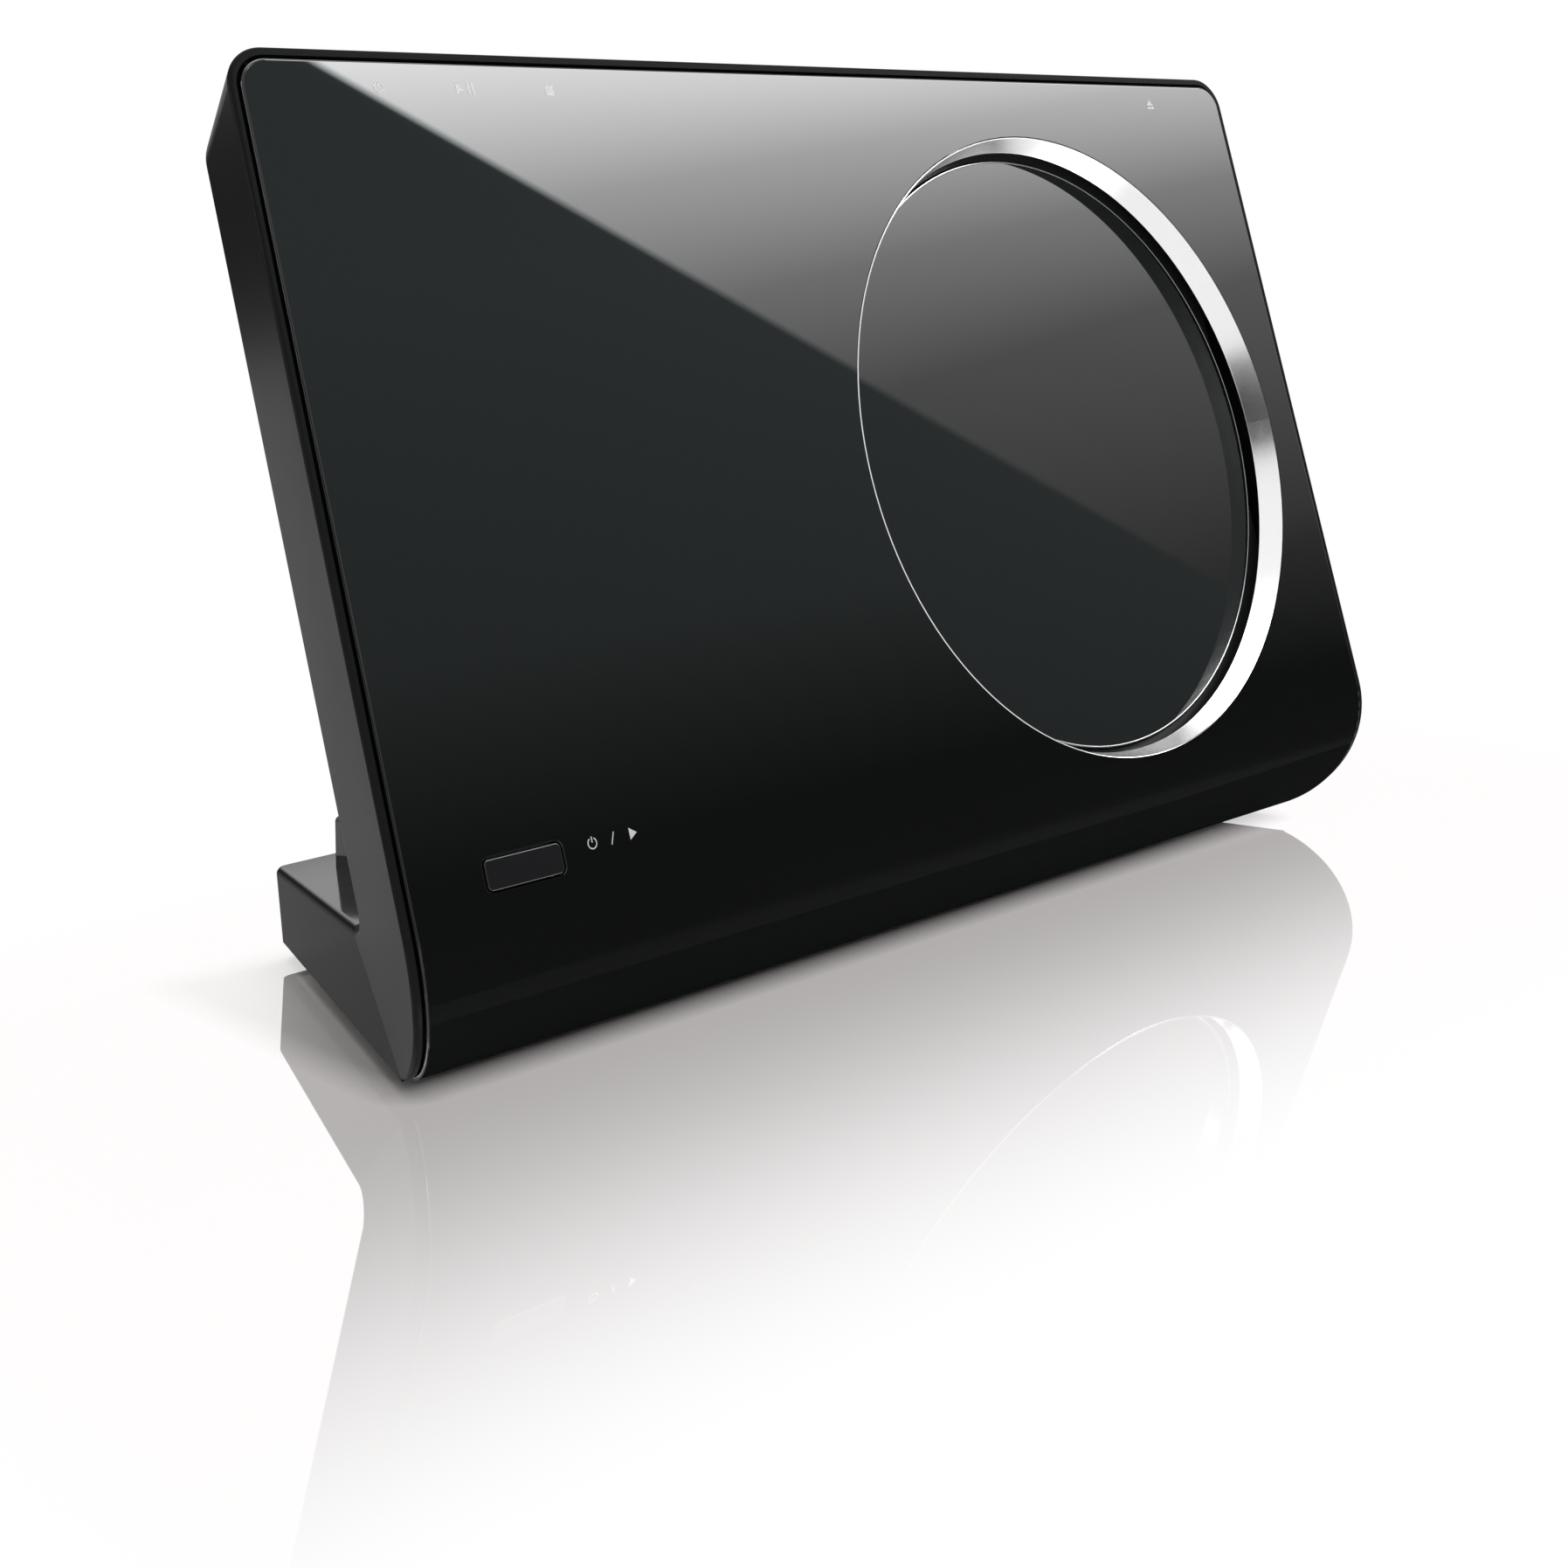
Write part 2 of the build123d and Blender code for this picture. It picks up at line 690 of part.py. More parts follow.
pitch_radius = gear_module * pinion_teeth / 2
rack_pitch_line = pinion_up - pitch_radius
tooth_pitch = pi * gear_module
tooth_half = tooth_pitch / 4 - tooth_backlash / 2
flank_slope = tan(radians(pressure_angle))
rack_root = rack_pitch_line - tooth_dedendum * gear_module
rack_tip = rack_pitch_line + tooth_addendum * gear_module
root_half = tooth_half + (rack_pitch_line - rack_root) * flank_slope
first_tooth = -int((carrier_half_length + pinion_place - root_half) / tooth_pitch)
last_tooth = int((carrier_half_length - pinion_place - root_half) / tooth_pitch)
rack_teeth = [(pinion_place + index * tooth_pitch, 0) for index in range(first_tooth, last_tooth + 1)]
tip_half = tooth_half - (rack_tip - rack_pitch_line) * flank_slope
with BuildSketch() as rack_tooth:
    with BuildLine():
        Polyline(
            (-root_half, rack_root),
            (-tip_half, rack_tip),
            (tip_half, rack_tip),
            (root_half, rack_root),
            close=True,
        )
    make_face()
with BuildPart() as door_carrier:
    with BuildSketch(layer(carrier_depth)):
        Rectangle(2 * carrier_half_length, 2 * carrier_half_height)
        with GridLocations(carrier_pitch, carrier_pitch, 2, 2):
            Circle(carrier_window_radius, mode=Mode.SUBTRACT)
    extrude(amount=-carrier_thickness)
    with BuildSketch(layer(rack_depth)):
        with Locations((0, rack_root - rack_back / 2)):
            Rectangle(2 * carrier_half_length, rack_back)
        with Locations(*rack_teeth):
            add(rack_tooth.sketch)
    extrude(amount=-rack_height)
door_carrier.part.label = "door_carrier"
export_step(door_carrier.part, "parts/door_carrier.step")

# Rails that hold the carrier's upper and lower edges, standing on the deck
rail_front = carrier_depth - rail_gap - rail_lip
rail_middle = (deck_left + deck_right) / 2
for rail_name, rail_way in (("upper_rail", 1), ("lower_rail", -1)):
    with BuildPart() as rail:
        with BuildSketch(layer(rail_front)):
            with Locations((rail_middle, rail_way * (rail_inner_edge + rail_outer_edge) / 2)):
                Rectangle(deck_right - deck_left, rail_outer_edge - rail_inner_edge)
        extrude(amount=rail_front - deck_depth)
        with BuildSketch(layer(carrier_depth - rail_gap)):
            groove_edge = carrier_half_height + rail_gap
            with Locations((rail_middle, rail_way * groove_edge / 2)):
                Rectangle(deck_right - deck_left, groove_edge)
        extrude(amount=-carrier_thickness - 2 * rail_gap, mode=Mode.SUBTRACT)
    rail.part.label = rail_name
    export_step(rail.part, f"parts/{rail_name}.step")

# Drive pinion, one moulding with its belt pulley, turning in the deck
base_radius = pitch_radius * cos(radians(pressure_angle))
root_radius = pitch_radius - tooth_dedendum * gear_module
tip_radius = pitch_radius + tooth_addendum * gear_module
tooth_half_angle = tooth_half / pitch_radius


def involute(radius):
    """Angle that an involute flank has swept at a radius."""
    pressure = acos(base_radius / radius)
    return tan(pressure) - pressure


def flank_point(radius, way):
    """Point of a tooth's flank, the tooth pointing along +X, on one side of its middle."""
    angle = tooth_half_angle + involute(pitch_radius) - involute(radius)
    return (radius * cos(angle), way * radius * sin(angle))


pinion_spot = (pinion_place, pinion_up)
neck_depth = deck_depth - seat_gap
pulley_depth = deck_depth + deck_thickness + seat_gap
with BuildSketch() as pinion_tooth:
    with BuildLine():
        Polyline(
            (0, 0),
            flank_point(base_radius, -1),
            flank_point(pitch_radius, -1),
            flank_point(tip_radius, -1),
            flank_point(tip_radius, 1),
            flank_point(pitch_radius, 1),
            flank_point(base_radius, 1),
            close=True,
        )
    make_face()
with BuildPart() as drive_pinion:
    with BuildSketch(layer(rack_depth + rail_gap)):
        with Locations(pinion_spot):
            Circle(root_radius)
            with PolarLocations(0, pinion_teeth, start_angle=-90 + 180 / pinion_teeth):
                add(pinion_tooth.sketch)
    extrude(amount=rack_depth + rail_gap - neck_depth)
    with BuildSketch(layer(neck_depth)):
        with Locations(pinion_spot):
            Circle(pinion_neck_radius)
    extrude(amount=neck_depth - pulley_depth)
    with BuildSketch(layer(pulley_depth)):
        with Locations(pinion_spot):
            Circle(pulley_radius)
    extrude(amount=-pulley_width)
drive_pinion.part.label = "drive_pinion"
export_step(drive_pinion.part, "parts/drive_pinion.step")

# Door motor on the back wall, its pulley level with the pinion's
motor_spot = (pinion_place - motor_spacing, pinion_up)
motor_face = pulley_depth + pulley_width + seat_gap
with BuildPart() as motor_pulley:
    with BuildSketch(layer(pulley_depth)):
        with Locations(motor_spot):
            Circle(motor_pulley_radius)
    extrude(amount=-pulley_width)
motor_pulley.part.label = "motor_pulley"
export_step(motor_pulley.part, "parts/motor_pulley.step")

with BuildPart() as door_motor:
    with BuildSketch(layer(motor_face)):
        with Locations(motor_spot):
            Circle(door_motor_radius)
    extrude(amount=motor_face - cavity_back)
door_motor.part.label = "door_motor"
export_step(door_motor.part, "parts/door_motor.step")

# Belt from the motor pulley to the pinion's pulley
with BuildPart() as drive_belt:
    with BuildSketch(layer(pulley_depth)):
        with Locations(motor_spot):
            Circle(motor_pulley_radius + belt_gap + belt_thickness)
        with Locations(pinion_spot):
            Circle(pulley_radius + belt_gap + belt_thickness)
        make_hull()
    extrude(amount=-pulley_width)
    with BuildSketch(layer(pulley_depth)):
        with Locations(motor_spot):
            Circle(motor_pulley_radius + belt_gap)
        with Locations(pinion_spot):
            Circle(pulley_radius + belt_gap)
        make_hull()
    extrude(amount=-pulley_width, mode=Mode.SUBTRACT)
drive_belt.part.label = "drive_belt"
export_step(drive_belt.part, "parts/drive_belt.step")

# Loader deck with the disc well, the slot for the pickup and posts for the sled's rods
well_back = deck_depth + well_depth + well_floor
rod_depth = well_back + rod_drop
slot_left = sled_home - sled_travel - pickup_size[0] / 2 - slot_end_gap
slot_right = sled_home + pickup_size[0] / 2 + slot_end_gap
slot_width = pickup_size[1] + 2 * slot_side_gap
rod_posts = [(x, up) for x in (rod_left, rod_right) for up in (-rod_offset, rod_offset)]
with BuildPart() as loader_deck:
    with BuildSketch(layer(deck_depth)):
        with Locations(((deck_left + deck_right) / 2, 0)):
            RectangleRounded(deck_right - deck_left, 2 * deck_half_height, deck_corner_radius)
        with Locations(*deck_posts):
            Circle(screw_radius + running_fit, mode=Mode.SUBTRACT)
        with Locations(pinion_spot):
            Circle(pinion_neck_radius + running_fit, mode=Mode.SUBTRACT)
    extrude(amount=-deck_thickness)
    with BuildSketch(layer(deck_depth)):
        Circle(well_radius + well_wall)
    extrude(amount=-well_depth - well_floor)
    with BuildSketch(layer(deck_depth + deck_thickness)):
        with Locations(*rod_posts):
            Rectangle(rod_post_length, 4 * rod_radius)
    extrude(amount=deck_depth + deck_thickness - rod_depth - 2 * rod_radius)
    with BuildSketch(layer(deck_depth)):
        Circle(well_radius)
    extrude(amount=-well_depth, mode=Mode.SUBTRACT)
    with BuildSketch(layer(deck_depth)):
        with Locations(((slot_left + slot_right) / 2, 0)):
            Rectangle(slot_right - slot_left, slot_width)
        Circle(spindle_radius + belt_gap)
    extrude(amount=-2 * well_depth - well_floor, mode=Mode.SUBTRACT)
    rod_line = Plane(origin=layer(rod_depth).origin, x_dir=panel_face.y_dir, z_dir=panel_face.x_dir)
    with BuildSketch(rod_line):
        with Locations((-rod_offset, 0), (rod_offset, 0)):
            Circle(rod_radius + running_fit)
    extrude(amount=2 * rod_left, mode=Mode.SUBTRACT)
loader_deck.part.label = "loader_deck"
export_step(loader_deck.part, "parts/loader_deck.step")

# Rubber dampers and screws that hold the deck on the shell's posts
deck_back = deck_depth + deck_thickness
with BuildPart() as deck_dampers:
    with BuildSketch(layer(deck_back)):
        with Locations(*deck_posts):
            Circle(damper_radius)
            Circle(screw_radius + running_fit, mode=Mode.SUBTRACT)
    extrude(amount=-damper_height)
deck_dampers.part.label = "deck_dampers"
export_step(deck_dampers.part, "parts/deck_dampers.step")

with BuildPart() as deck_screws:
    with BuildSketch(layer(deck_depth)):
        with Locations(*deck_posts):
            Circle(screw_head_radius)
    extrude(amount=screw_head_height)
    with BuildSketch(layer(deck_depth)):
        with Locations(*deck_posts):
            Circle(screw_radius)
    extrude(amount=-deck_thickness - damper_height - screw_bite)
deck_screws.part.label = "deck_screws"
export_step(deck_screws.part, "parts/deck_screws.step")

# Spindle motor under the well, and the turntable that it turns
turntable_face = deck_depth
ball_layer = layer(turntable_face - hub_height / 2)
ball_circle = hub_radius - hub_ball_radius / 2
with BuildPart() as spindle_motor:
    with BuildSketch(layer(well_back)):
        Circle(spindle_motor_radius)
        Circle(spindle_radius + running_fit, mode=Mode.SUBTRACT)
    extrude(amount=-spindle_motor_height)
spindle_motor.part.label = "spindle_motor"
export_step(spindle_motor.part, "parts/spindle_motor.step")

with BuildPart() as turntable:
    with BuildSketch(ring_section):
        with BuildLine():
            Polyline(
                (0, hub_height - turntable_face),
                (hub_radius - hub_chamfer, hub_height - turntable_face),
                (hub_radius, hub_height - hub_chamfer - turntable_face),
                (hub_radius, -turntable_face),
                (turntable_radius, -turntable_face),
                (turntable_radius, -turntable_face - turntable_thickness),
                (spindle_radius, -turntable_face - turntable_thickness),
                (spindle_radius, -well_back - spindle_motor_height),
                (0, -well_back - spindle_motor_height),
                close=True,
            )
        make_face()
    revolve(axis=ring_axis)
    with Locations(ball_layer):
        with PolarLocations(ball_circle, hub_ball_count):
            Sphere(hub_ball_radius + running_fit, mode=Mode.SUBTRACT)
turntable.part.label = "turntable"
export_step(turntable.part, "parts/turntable.step")

# Sprung balls in the hub that grip the disc's hole
with BuildPart() as hub_balls:
    with Locations(ball_layer):
        with PolarLocations(ball_circle, hub_ball_count):
            Sphere(hub_ball_radius)
hub_balls.part.label = "hub_balls"
export_step(hub_balls.part, "parts/hub_balls.step")

# Pickup sled on its rod and lead screw, with the lens in the slot
sled_top = well_back + seat_gap
with BuildPart() as pickup_sled:
    with BuildSketch(layer(sled_top)):
        with Locations((sled_home, 0)):
            RectangleRounded(sled_length, sled_width, sled_corner_radius)
    extrude(amount=-sled_thickness - rod_radius)
    with BuildSketch(layer(sled_top)):
        with Locations((sled_home, 0)):
            RectangleRounded(*pickup_size, pickup_corner_radius)
    extrude(amount=well_floor)
    with BuildSketch(rod_line):
        with Locations((-rod_offset, 0), (rod_offset, 0)):
            Circle(rod_radius + running_fit)
    extrude(amount=2 * rod_left, mode=Mode.SUBTRACT)
pickup_sled.part.label = "pickup_sled"
export_step(pickup_sled.part, "parts/pickup_sled.step")

with BuildPart() as objective_lens:
    with BuildSketch(layer(sled_top - well_floor)):
        with Locations((sled_home, 0)):
            Circle(lens_radius)
    extrude(amount=lens_height)
objective_lens.part.label = "objective_lens"
export_step(objective_lens.part, "parts/objective_lens.step")

rod_span = rod_right - rod_left + rod_post_length
with BuildPart() as guide_rod:
    with BuildSketch(rod_line.offset(rod_left - rod_post_length / 2)):
        with Locations((rod_offset, 0)):
            Circle(rod_radius)
    extrude(amount=rod_span)
guide_rod.part.label = "guide_rod"
export_step(guide_rod.part, "parts/guide_rod.step")

with BuildPart() as lead_screw:
    with BuildSketch(rod_line.offset(rod_left - rod_post_length / 2)):
        with Locations((-rod_offset, 0)):
            Circle(rod_radius)
    extrude(amount=rod_span)
lead_screw.part.label = "lead_screw"
export_step(lead_screw.part, "parts/lead_screw.step")

with BuildPart() as sled_motor:
    with BuildSketch(rod_line.offset(rod_left - rod_post_length / 2)):
        with Locations((-rod_offset, 0)):
            Circle(sled_motor_radius)
    extrude(amount=-sled_motor_length)
sled_motor.part.label = "sled_motor"
export_step(sled_motor.part, "parts/sled_motor.step")

# Main board on the shell's posts, with its chips facing the deck
with BuildPart() as main_board:
    with BuildSketch(layer(main_board_depth)):
        with Locations(main_board_centre):
            Rectangle(*main_board_size)
    extrude(amount=-board_thickness)
main_board.part.label = "main_board"
export_step(main_board.part, "parts/main_board.step")

with BuildPart() as main_chips:
    with BuildSketch(layer(main_board_depth)):
        for across, up, share in chip_shares:
            chip_size = share * main_board_size[0]
            with Locations((
                main_board_centre[0] + across * main_board_size[0],
                main_board_centre[1] + up * main_board_size[1],
            )):
                Rectangle(chip_size, chip_size)
    extrude(amount=chip_height)
main_chips.part.label = "main_chips"
export_step(main_chips.part, "parts/main_chips.step")

# Power board on the base cover's posts, with its transformer and capacitors
power_board_z = stand_floor + cover_thickness + power_post_height
power_top = Plane.XY.offset(power_board_z + board_thickness)
with BuildPart() as power_board:
    with BuildSketch(Plane.XY.offset(power_board_z)):
        with Locations((0, power_board_y)):
            Rectangle(*power_board_size)
    extrude(amount=board_thickness)
power_board.part.label = "power_board"
export_step(power_board.part, "parts/power_board.step")

with BuildPart() as transformer:
    with BuildSketch(power_top):
        with Locations((transformer_place, power_board_y)):
            Rectangle(*transformer_size[:2])
    extrude(amount=transformer_size[2])
transformer.part.label = "transformer"
export_step(transformer.part, "parts/transformer.step")

with BuildPart() as capacitors:
    with BuildSketch(power_top):
        with Locations(*[(place, power_board_y) for place in capacitor_places]):
            Circle(capacitor_radius)
    extrude(amount=capacitor_height)
capacitors.part.label = "capacitors"
export_step(capacitors.part, "parts/capacitors.step")

# Infrared board behind the window, with its receiver and the status lamp
ir_front = layer(ir_board_depth)
receiver_height = ir_board_depth - panel_thickness - ir_window_flange_thickness - seat_gap
with BuildPart() as ir_board:
    with BuildSketch(ir_front):
        with Locations(ir_board_centre):
            Rectangle(*ir_board_size)
    extrude(amount=-ir_board_thickness)
ir_board.part.label = "ir_board"
export_step(ir_board.part, "parts/ir_board.step")

with BuildPart() as ir_receiver:
    with BuildSketch(ir_front):
        with Locations((ir_window_centre[0] - ir_window_size[0] / 4, ir_window_centre[1])):
            Rectangle(ir_receiver_width, ir_window_size[1] / 2)
    extrude(amount=receiver_height)
ir_receiver.part.label = "ir_receiver"
export_step(ir_receiver.part, "parts/ir_receiver.step")

with BuildPart() as status_lamp:
    with BuildSketch(ir_front):
        with Locations((ir_window_centre[0] + ir_window_size[0] / 4, ir_window_centre[1])):
            Circle(status_lamp_radius)
    extrude(amount=receiver_height)
status_lamp.part.label = "status_lamp"
export_step(status_lamp.part, "parts/status_lamp.step")

# Keys in the sloping top, each over a switch on the key board
switch_top = key_board_drop - key_switch_size[2]
stem_end = switch_top - key_travel - seat_gap
flange_top = shell_wall + seat_gap
for key_name, key_place in key_places.items():
    with BuildPart() as key:
        with BuildSketch(key_plane.offset(key_proud)):
            with Locations((key_place, 0)):
                SlotOverall(*key_size)
        extrude(amount=-key_proud - flange_top - key_flange_thickness)
        with BuildSketch(key_plane.offset(-flange_top)):
            with Locations((key_place, 0)):
                SlotOverall(key_size[0] + 2 * key_flange, key_size[1] + 2 * key_flange)
        extrude(amount=-key_flange_thickness)
        with BuildSketch(key_plane.offset(-flange_top)):
            with Locations((key_place, 0)):
                Circle(key_stem_radius)
        extrude(amount=flange_top - stem_end)
        fillet(key.edges().group_by(Axis(key_plane.origin, key_plane.z_dir))[-1], radius=key_edge_radius)
    key.part.label = key_name
    export_step(key.part, f"parts/{key_name}.step")

with BuildPart() as key_board:
    with BuildSketch(key_plane.offset(-key_board_drop)):
        Rectangle(overall_width - 2 * key_board_end_gap, key_board_width)
    extrude(amount=-key_board_thickness)
key_board.part.label = "key_board"
export_step(key_board.part, "parts/key_board.step")

with BuildPart() as key_switches:
    with BuildSketch(key_plane.offset(-key_board_drop)):
        with Locations(*[(place, 0) for place in key_places.values()]):
            Rectangle(*key_switch_size[:2])
    extrude(amount=key_switch_size[2])
key_switches.part.label = "key_switches"
export_step(key_switches.part, "parts/key_switches.step")

# Jack housing, the low block on the stand behind the body
jack_y = rear_y - jack_housing_setback
jack_top = stand_floor + jack_housing_height
jack_front = stand_joint[0] + seat_gap
jack_top_up = (jack_top - ring_z + (slab_thickness + seat_gap) * sin(lean)) / cos(lean)
jack_top_front = side(jack_top_up, slab_thickness + seat_gap)
with BuildPart() as jack_housing:
    with BuildSketch(Plane.YZ):
        with BuildLine():
            Polyline(
                (jack_front, stand_top(jack_front)),
                (jack_y, stand_top(jack_y)),
                (jack_y, jack_top),
                jack_top_front,
                close=True,
            )
        make_face()
    extrude(amount=jack_housing_width / 2, both=True)
    jack_lid = jack_housing.faces().sort_by(Axis.Z)[-1]
    fillet(jack_lid.edges().filter_by(Axis.X, reverse=True), radius=jack_edge_radius)
    with BuildSketch(Plane.YZ):
        with BuildLine():
            Polyline(
                (jack_front + jack_wall, 0),
                (jack_y, 0),
                (jack_y, jack_top - jack_wall),
                (jack_front + jack_wall, jack_top - jack_wall),
                close=True,
            )
        make_face()
    extrude(amount=jack_housing_width / 2 - jack_wall, both=True, mode=Mode.SUBTRACT)
jack_housing.part.label = "jack_housing"
export_step(jack_housing.part, "parts/jack_housing.step")

# Jack plate across the back of the housing
plate_low = stand_top(jack_y - jack_plate_thickness) + cover_gap
plate_high = jack_top - jack_wall - cover_gap
jack_face = Plane(origin=(0, jack_y, (plate_low + plate_high) / 2), x_dir=(-1, 0, 0), z_dir=(0, 1, 0))
phono_end = jack_housing_width / 2 - phono_end_inset
phono_places = {
    "video_socket": phono_end - 2 * phono_pitch,
    "left_audio_socket": phono_end - phono_pitch,
    "right_audio_socket": phono_end,
}
digital_socket_place = phono_places["video_socket"] - digital_socket_gap
inlet_place = inlet_end_inset - jack_housing_width / 2
with BuildPart() as jack_plate:
    with BuildSketch(jack_face):
        Rectangle(jack_housing_width - 2 * jack_wall - 2 * cover_gap, plate_high - plate_low)
        with Locations(*[(place, 0) for place in phono_places.values()]):
            Circle(phono_body_radius + running_fit, mode=Mode.SUBTRACT)
        with Locations((digital_socket_place, 0)):
            Rectangle(
                digital_socket_size[0] + 2 * running_fit,
                digital_socket_size[1] + 2 * running_fit,
                mode=Mode.SUBTRACT,
            )
        with Locations((inlet_place, 0)):
            SlotOverall(inlet_size[0] + 2 * running_fit, inlet_size[1] + 2 * running_fit, mode=Mode.SUBTRACT)
    extrude(amount=-jack_plate_thickness)
jack_plate.part.label = "jack_plate"
export_step(jack_plate.part, "parts/jack_plate.step")

# Phono sockets, a coloured insulator each, with a bright barrel standing on it
for socket_name, socket_place in phono_places.items():
    with BuildPart() as phono:
        with BuildSketch(jack_face):
            with Locations((socket_place, 0)):
                Circle(phono_radius)
        extrude(amount=phono_flange)
        with BuildSketch(jack_face):
            with Locations((socket_place, 0)):
                Circle(phono_body_radius)
        extrude(amount=-phono_body_length)
        with BuildSketch(jack_face.offset(phono_flange)):
            with Locations((socket_place, 0)):
                Circle(phono_pin_radius)
        extrude(amount=-phono_body_length, mode=Mode.SUBTRACT)
    phono.part.label = socket_name
    export_step(phono.part, f"parts/{socket_name}.step")

with BuildPart() as phono_barrels:
    with BuildSketch(jack_face.offset(phono_flange)):
        with Locations(*[(place, 0) for place in phono_places.values()]):
            Circle(phono_barrel_radius)
            Circle(phono_barrel_radius - phono_barrel_wall, mode=Mode.SUBTRACT)
    extrude(amount=phono_barrel_length)
phono_barrels.part.label = "phono_barrels"
export_step(phono_barrels.part, "parts/phono_barrels.step")

# Digital picture socket, a shallow sleeve with a contact tongue
with BuildPart() as digital_socket:
    with BuildSketch(jack_face):
        with Locations((digital_socket_place, 0)):
            Rectangle(*digital_socket_size)
    extrude(amount=-digital_socket_length)
    with BuildSketch(jack_face):
        with Locations((digital_socket_place, 0)):
            Rectangle(*digital_slot_size)
            Rectangle(*digital_tongue_size, mode=Mode.SUBTRACT)
    extrude(amount=-digital_slot_depth, mode=Mode.SUBTRACT)
digital_socket.part.label = "digital_socket"
export_step(digital_socket.part, "parts/digital_socket.step")

# Mains inlet with two pins
with BuildPart() as mains_inlet:
    with BuildSketch(jack_face):
        with Locations((inlet_place, 0)):
            SlotOverall(*inlet_size)
    extrude(amount=-inlet_length)
    with BuildSketch(jack_face):
        with Locations((inlet_place, 0)):
            SlotOverall(*inlet_pocket_size)
    extrude(amount=-inlet_pocket_depth, mode=Mode.SUBTRACT)
    with BuildSketch(jack_face.offset(-inlet_pocket_depth)):
        with Locations((inlet_place - inlet_pin_spacing / 2, 0), (inlet_place + inlet_pin_spacing / 2, 0)):
            Circle(inlet_pin_radius)
    extrude(amount=inlet_pin_length)
mains_inlet.part.label = "mains_inlet"
export_step(mains_inlet.part, "parts/mains_inlet.step")

# Screws that hold the base cover to the stand
with BuildPart() as base_screws:
    with BuildSketch(Plane.XY.offset(stand_floor)):
        with Locations(*cover_screws):
            Circle(screw_head_radius)
    extrude(amount=screw_head_height)
    with BuildSketch(Plane.XY.offset(stand_floor)):
        with Locations(*cover_screws):
            Circle(screw_radius)
    extrude(amount=cover_thickness + screw_bite)
base_screws.part.label = "base_screws"
export_step(base_screws.part, "parts/base_screws.step")
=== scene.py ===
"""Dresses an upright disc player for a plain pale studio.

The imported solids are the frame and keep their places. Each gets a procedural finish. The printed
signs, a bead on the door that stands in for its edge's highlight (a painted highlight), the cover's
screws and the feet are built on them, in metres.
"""

from __future__ import annotations

import logging
import math
from dataclasses import dataclass
from enum import Enum
from functools import cache, partial, partialmethod
from typing import Any, Callable, Iterable, Mapping, Sequence

import bmesh
import bpy
from mathutils import Matrix, Vector

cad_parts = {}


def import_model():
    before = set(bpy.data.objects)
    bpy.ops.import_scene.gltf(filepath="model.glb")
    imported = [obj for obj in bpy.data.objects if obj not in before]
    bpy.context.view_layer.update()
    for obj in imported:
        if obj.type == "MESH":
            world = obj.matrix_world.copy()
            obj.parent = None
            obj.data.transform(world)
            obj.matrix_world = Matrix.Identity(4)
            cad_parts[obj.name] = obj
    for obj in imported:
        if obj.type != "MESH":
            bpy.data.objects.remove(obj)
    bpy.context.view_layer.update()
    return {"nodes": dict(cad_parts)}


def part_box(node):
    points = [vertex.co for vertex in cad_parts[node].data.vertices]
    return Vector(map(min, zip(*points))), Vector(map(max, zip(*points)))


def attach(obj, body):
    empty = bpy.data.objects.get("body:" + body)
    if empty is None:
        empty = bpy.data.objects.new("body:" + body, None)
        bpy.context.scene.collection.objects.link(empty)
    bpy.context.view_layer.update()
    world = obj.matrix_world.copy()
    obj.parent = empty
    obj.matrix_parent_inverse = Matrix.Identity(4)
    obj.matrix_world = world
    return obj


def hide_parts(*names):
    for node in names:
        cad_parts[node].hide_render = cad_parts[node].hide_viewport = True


Material = bpy.types.Material
Mesh = bpy.types.Mesh
Node = bpy.types.Node
NodeTree = bpy.types.NodeTree
Socket = bpy.types.NodeSocket
Thing = bpy.types.Object
BMesh = bmesh.types.BMesh
Colour = tuple[float, float, float]
Point = tuple[float, float, float]
Span = tuple[float, float]
Outline = list[Span]

log = logging.getLogger("disc_player")
MM = 0.001
WELD = 0.000001
ACROSS: Point = (1.0, 0.0, 0.0)
ALONG: Point = (0.0, 1.0, 0.0)
UP: Point = (0.0, 0.0, 1.0)
WHITE: Colour = (1.0, 1.0, 1.0)


@dataclass(frozen=True)
class LeaningPlane:
    """The plane of the front panel, which leans back.

    Attributes:
        centre: The middle of the round door's ring on the panel's face.
        lean: How far the panel leans back, in radians.
    """

    centre: Point = (0.0612, -0.025082, 0.1006)
    lean: float = math.radians(18.6)

    @property
    def out(self) -> Vector:
        """The way the panel faces."""
        return Vector((0.0, -math.cos(self.lean), math.sin(self.lean)))

    @property
    def up(self) -> Vector:
        """The way up along the panel."""
        return Vector((0.0, math.sin(self.lean), math.cos(self.lean)))

    def at(self, across: float, up: float, depth: float = 0.0) -> Vector:
        """Gives a point so far right of the ring's centre, up the panel and behind its face."""
        return Vector(self.centre) + Vector(ACROSS) * across + self.up * up - self.out * depth

    def matrix(self, across: float, up: float, depth: float = 0.0) -> Matrix:
        """Lays a shape's X across, Y up and Z out of the panel, with its origin at that point."""
        turn = Matrix((Vector(ACROSS), self.up, self.out)).transposed().to_4x4()
        return Matrix.Translation(self.at(across, up, depth)) @ turn


PANEL = LeaningPlane()


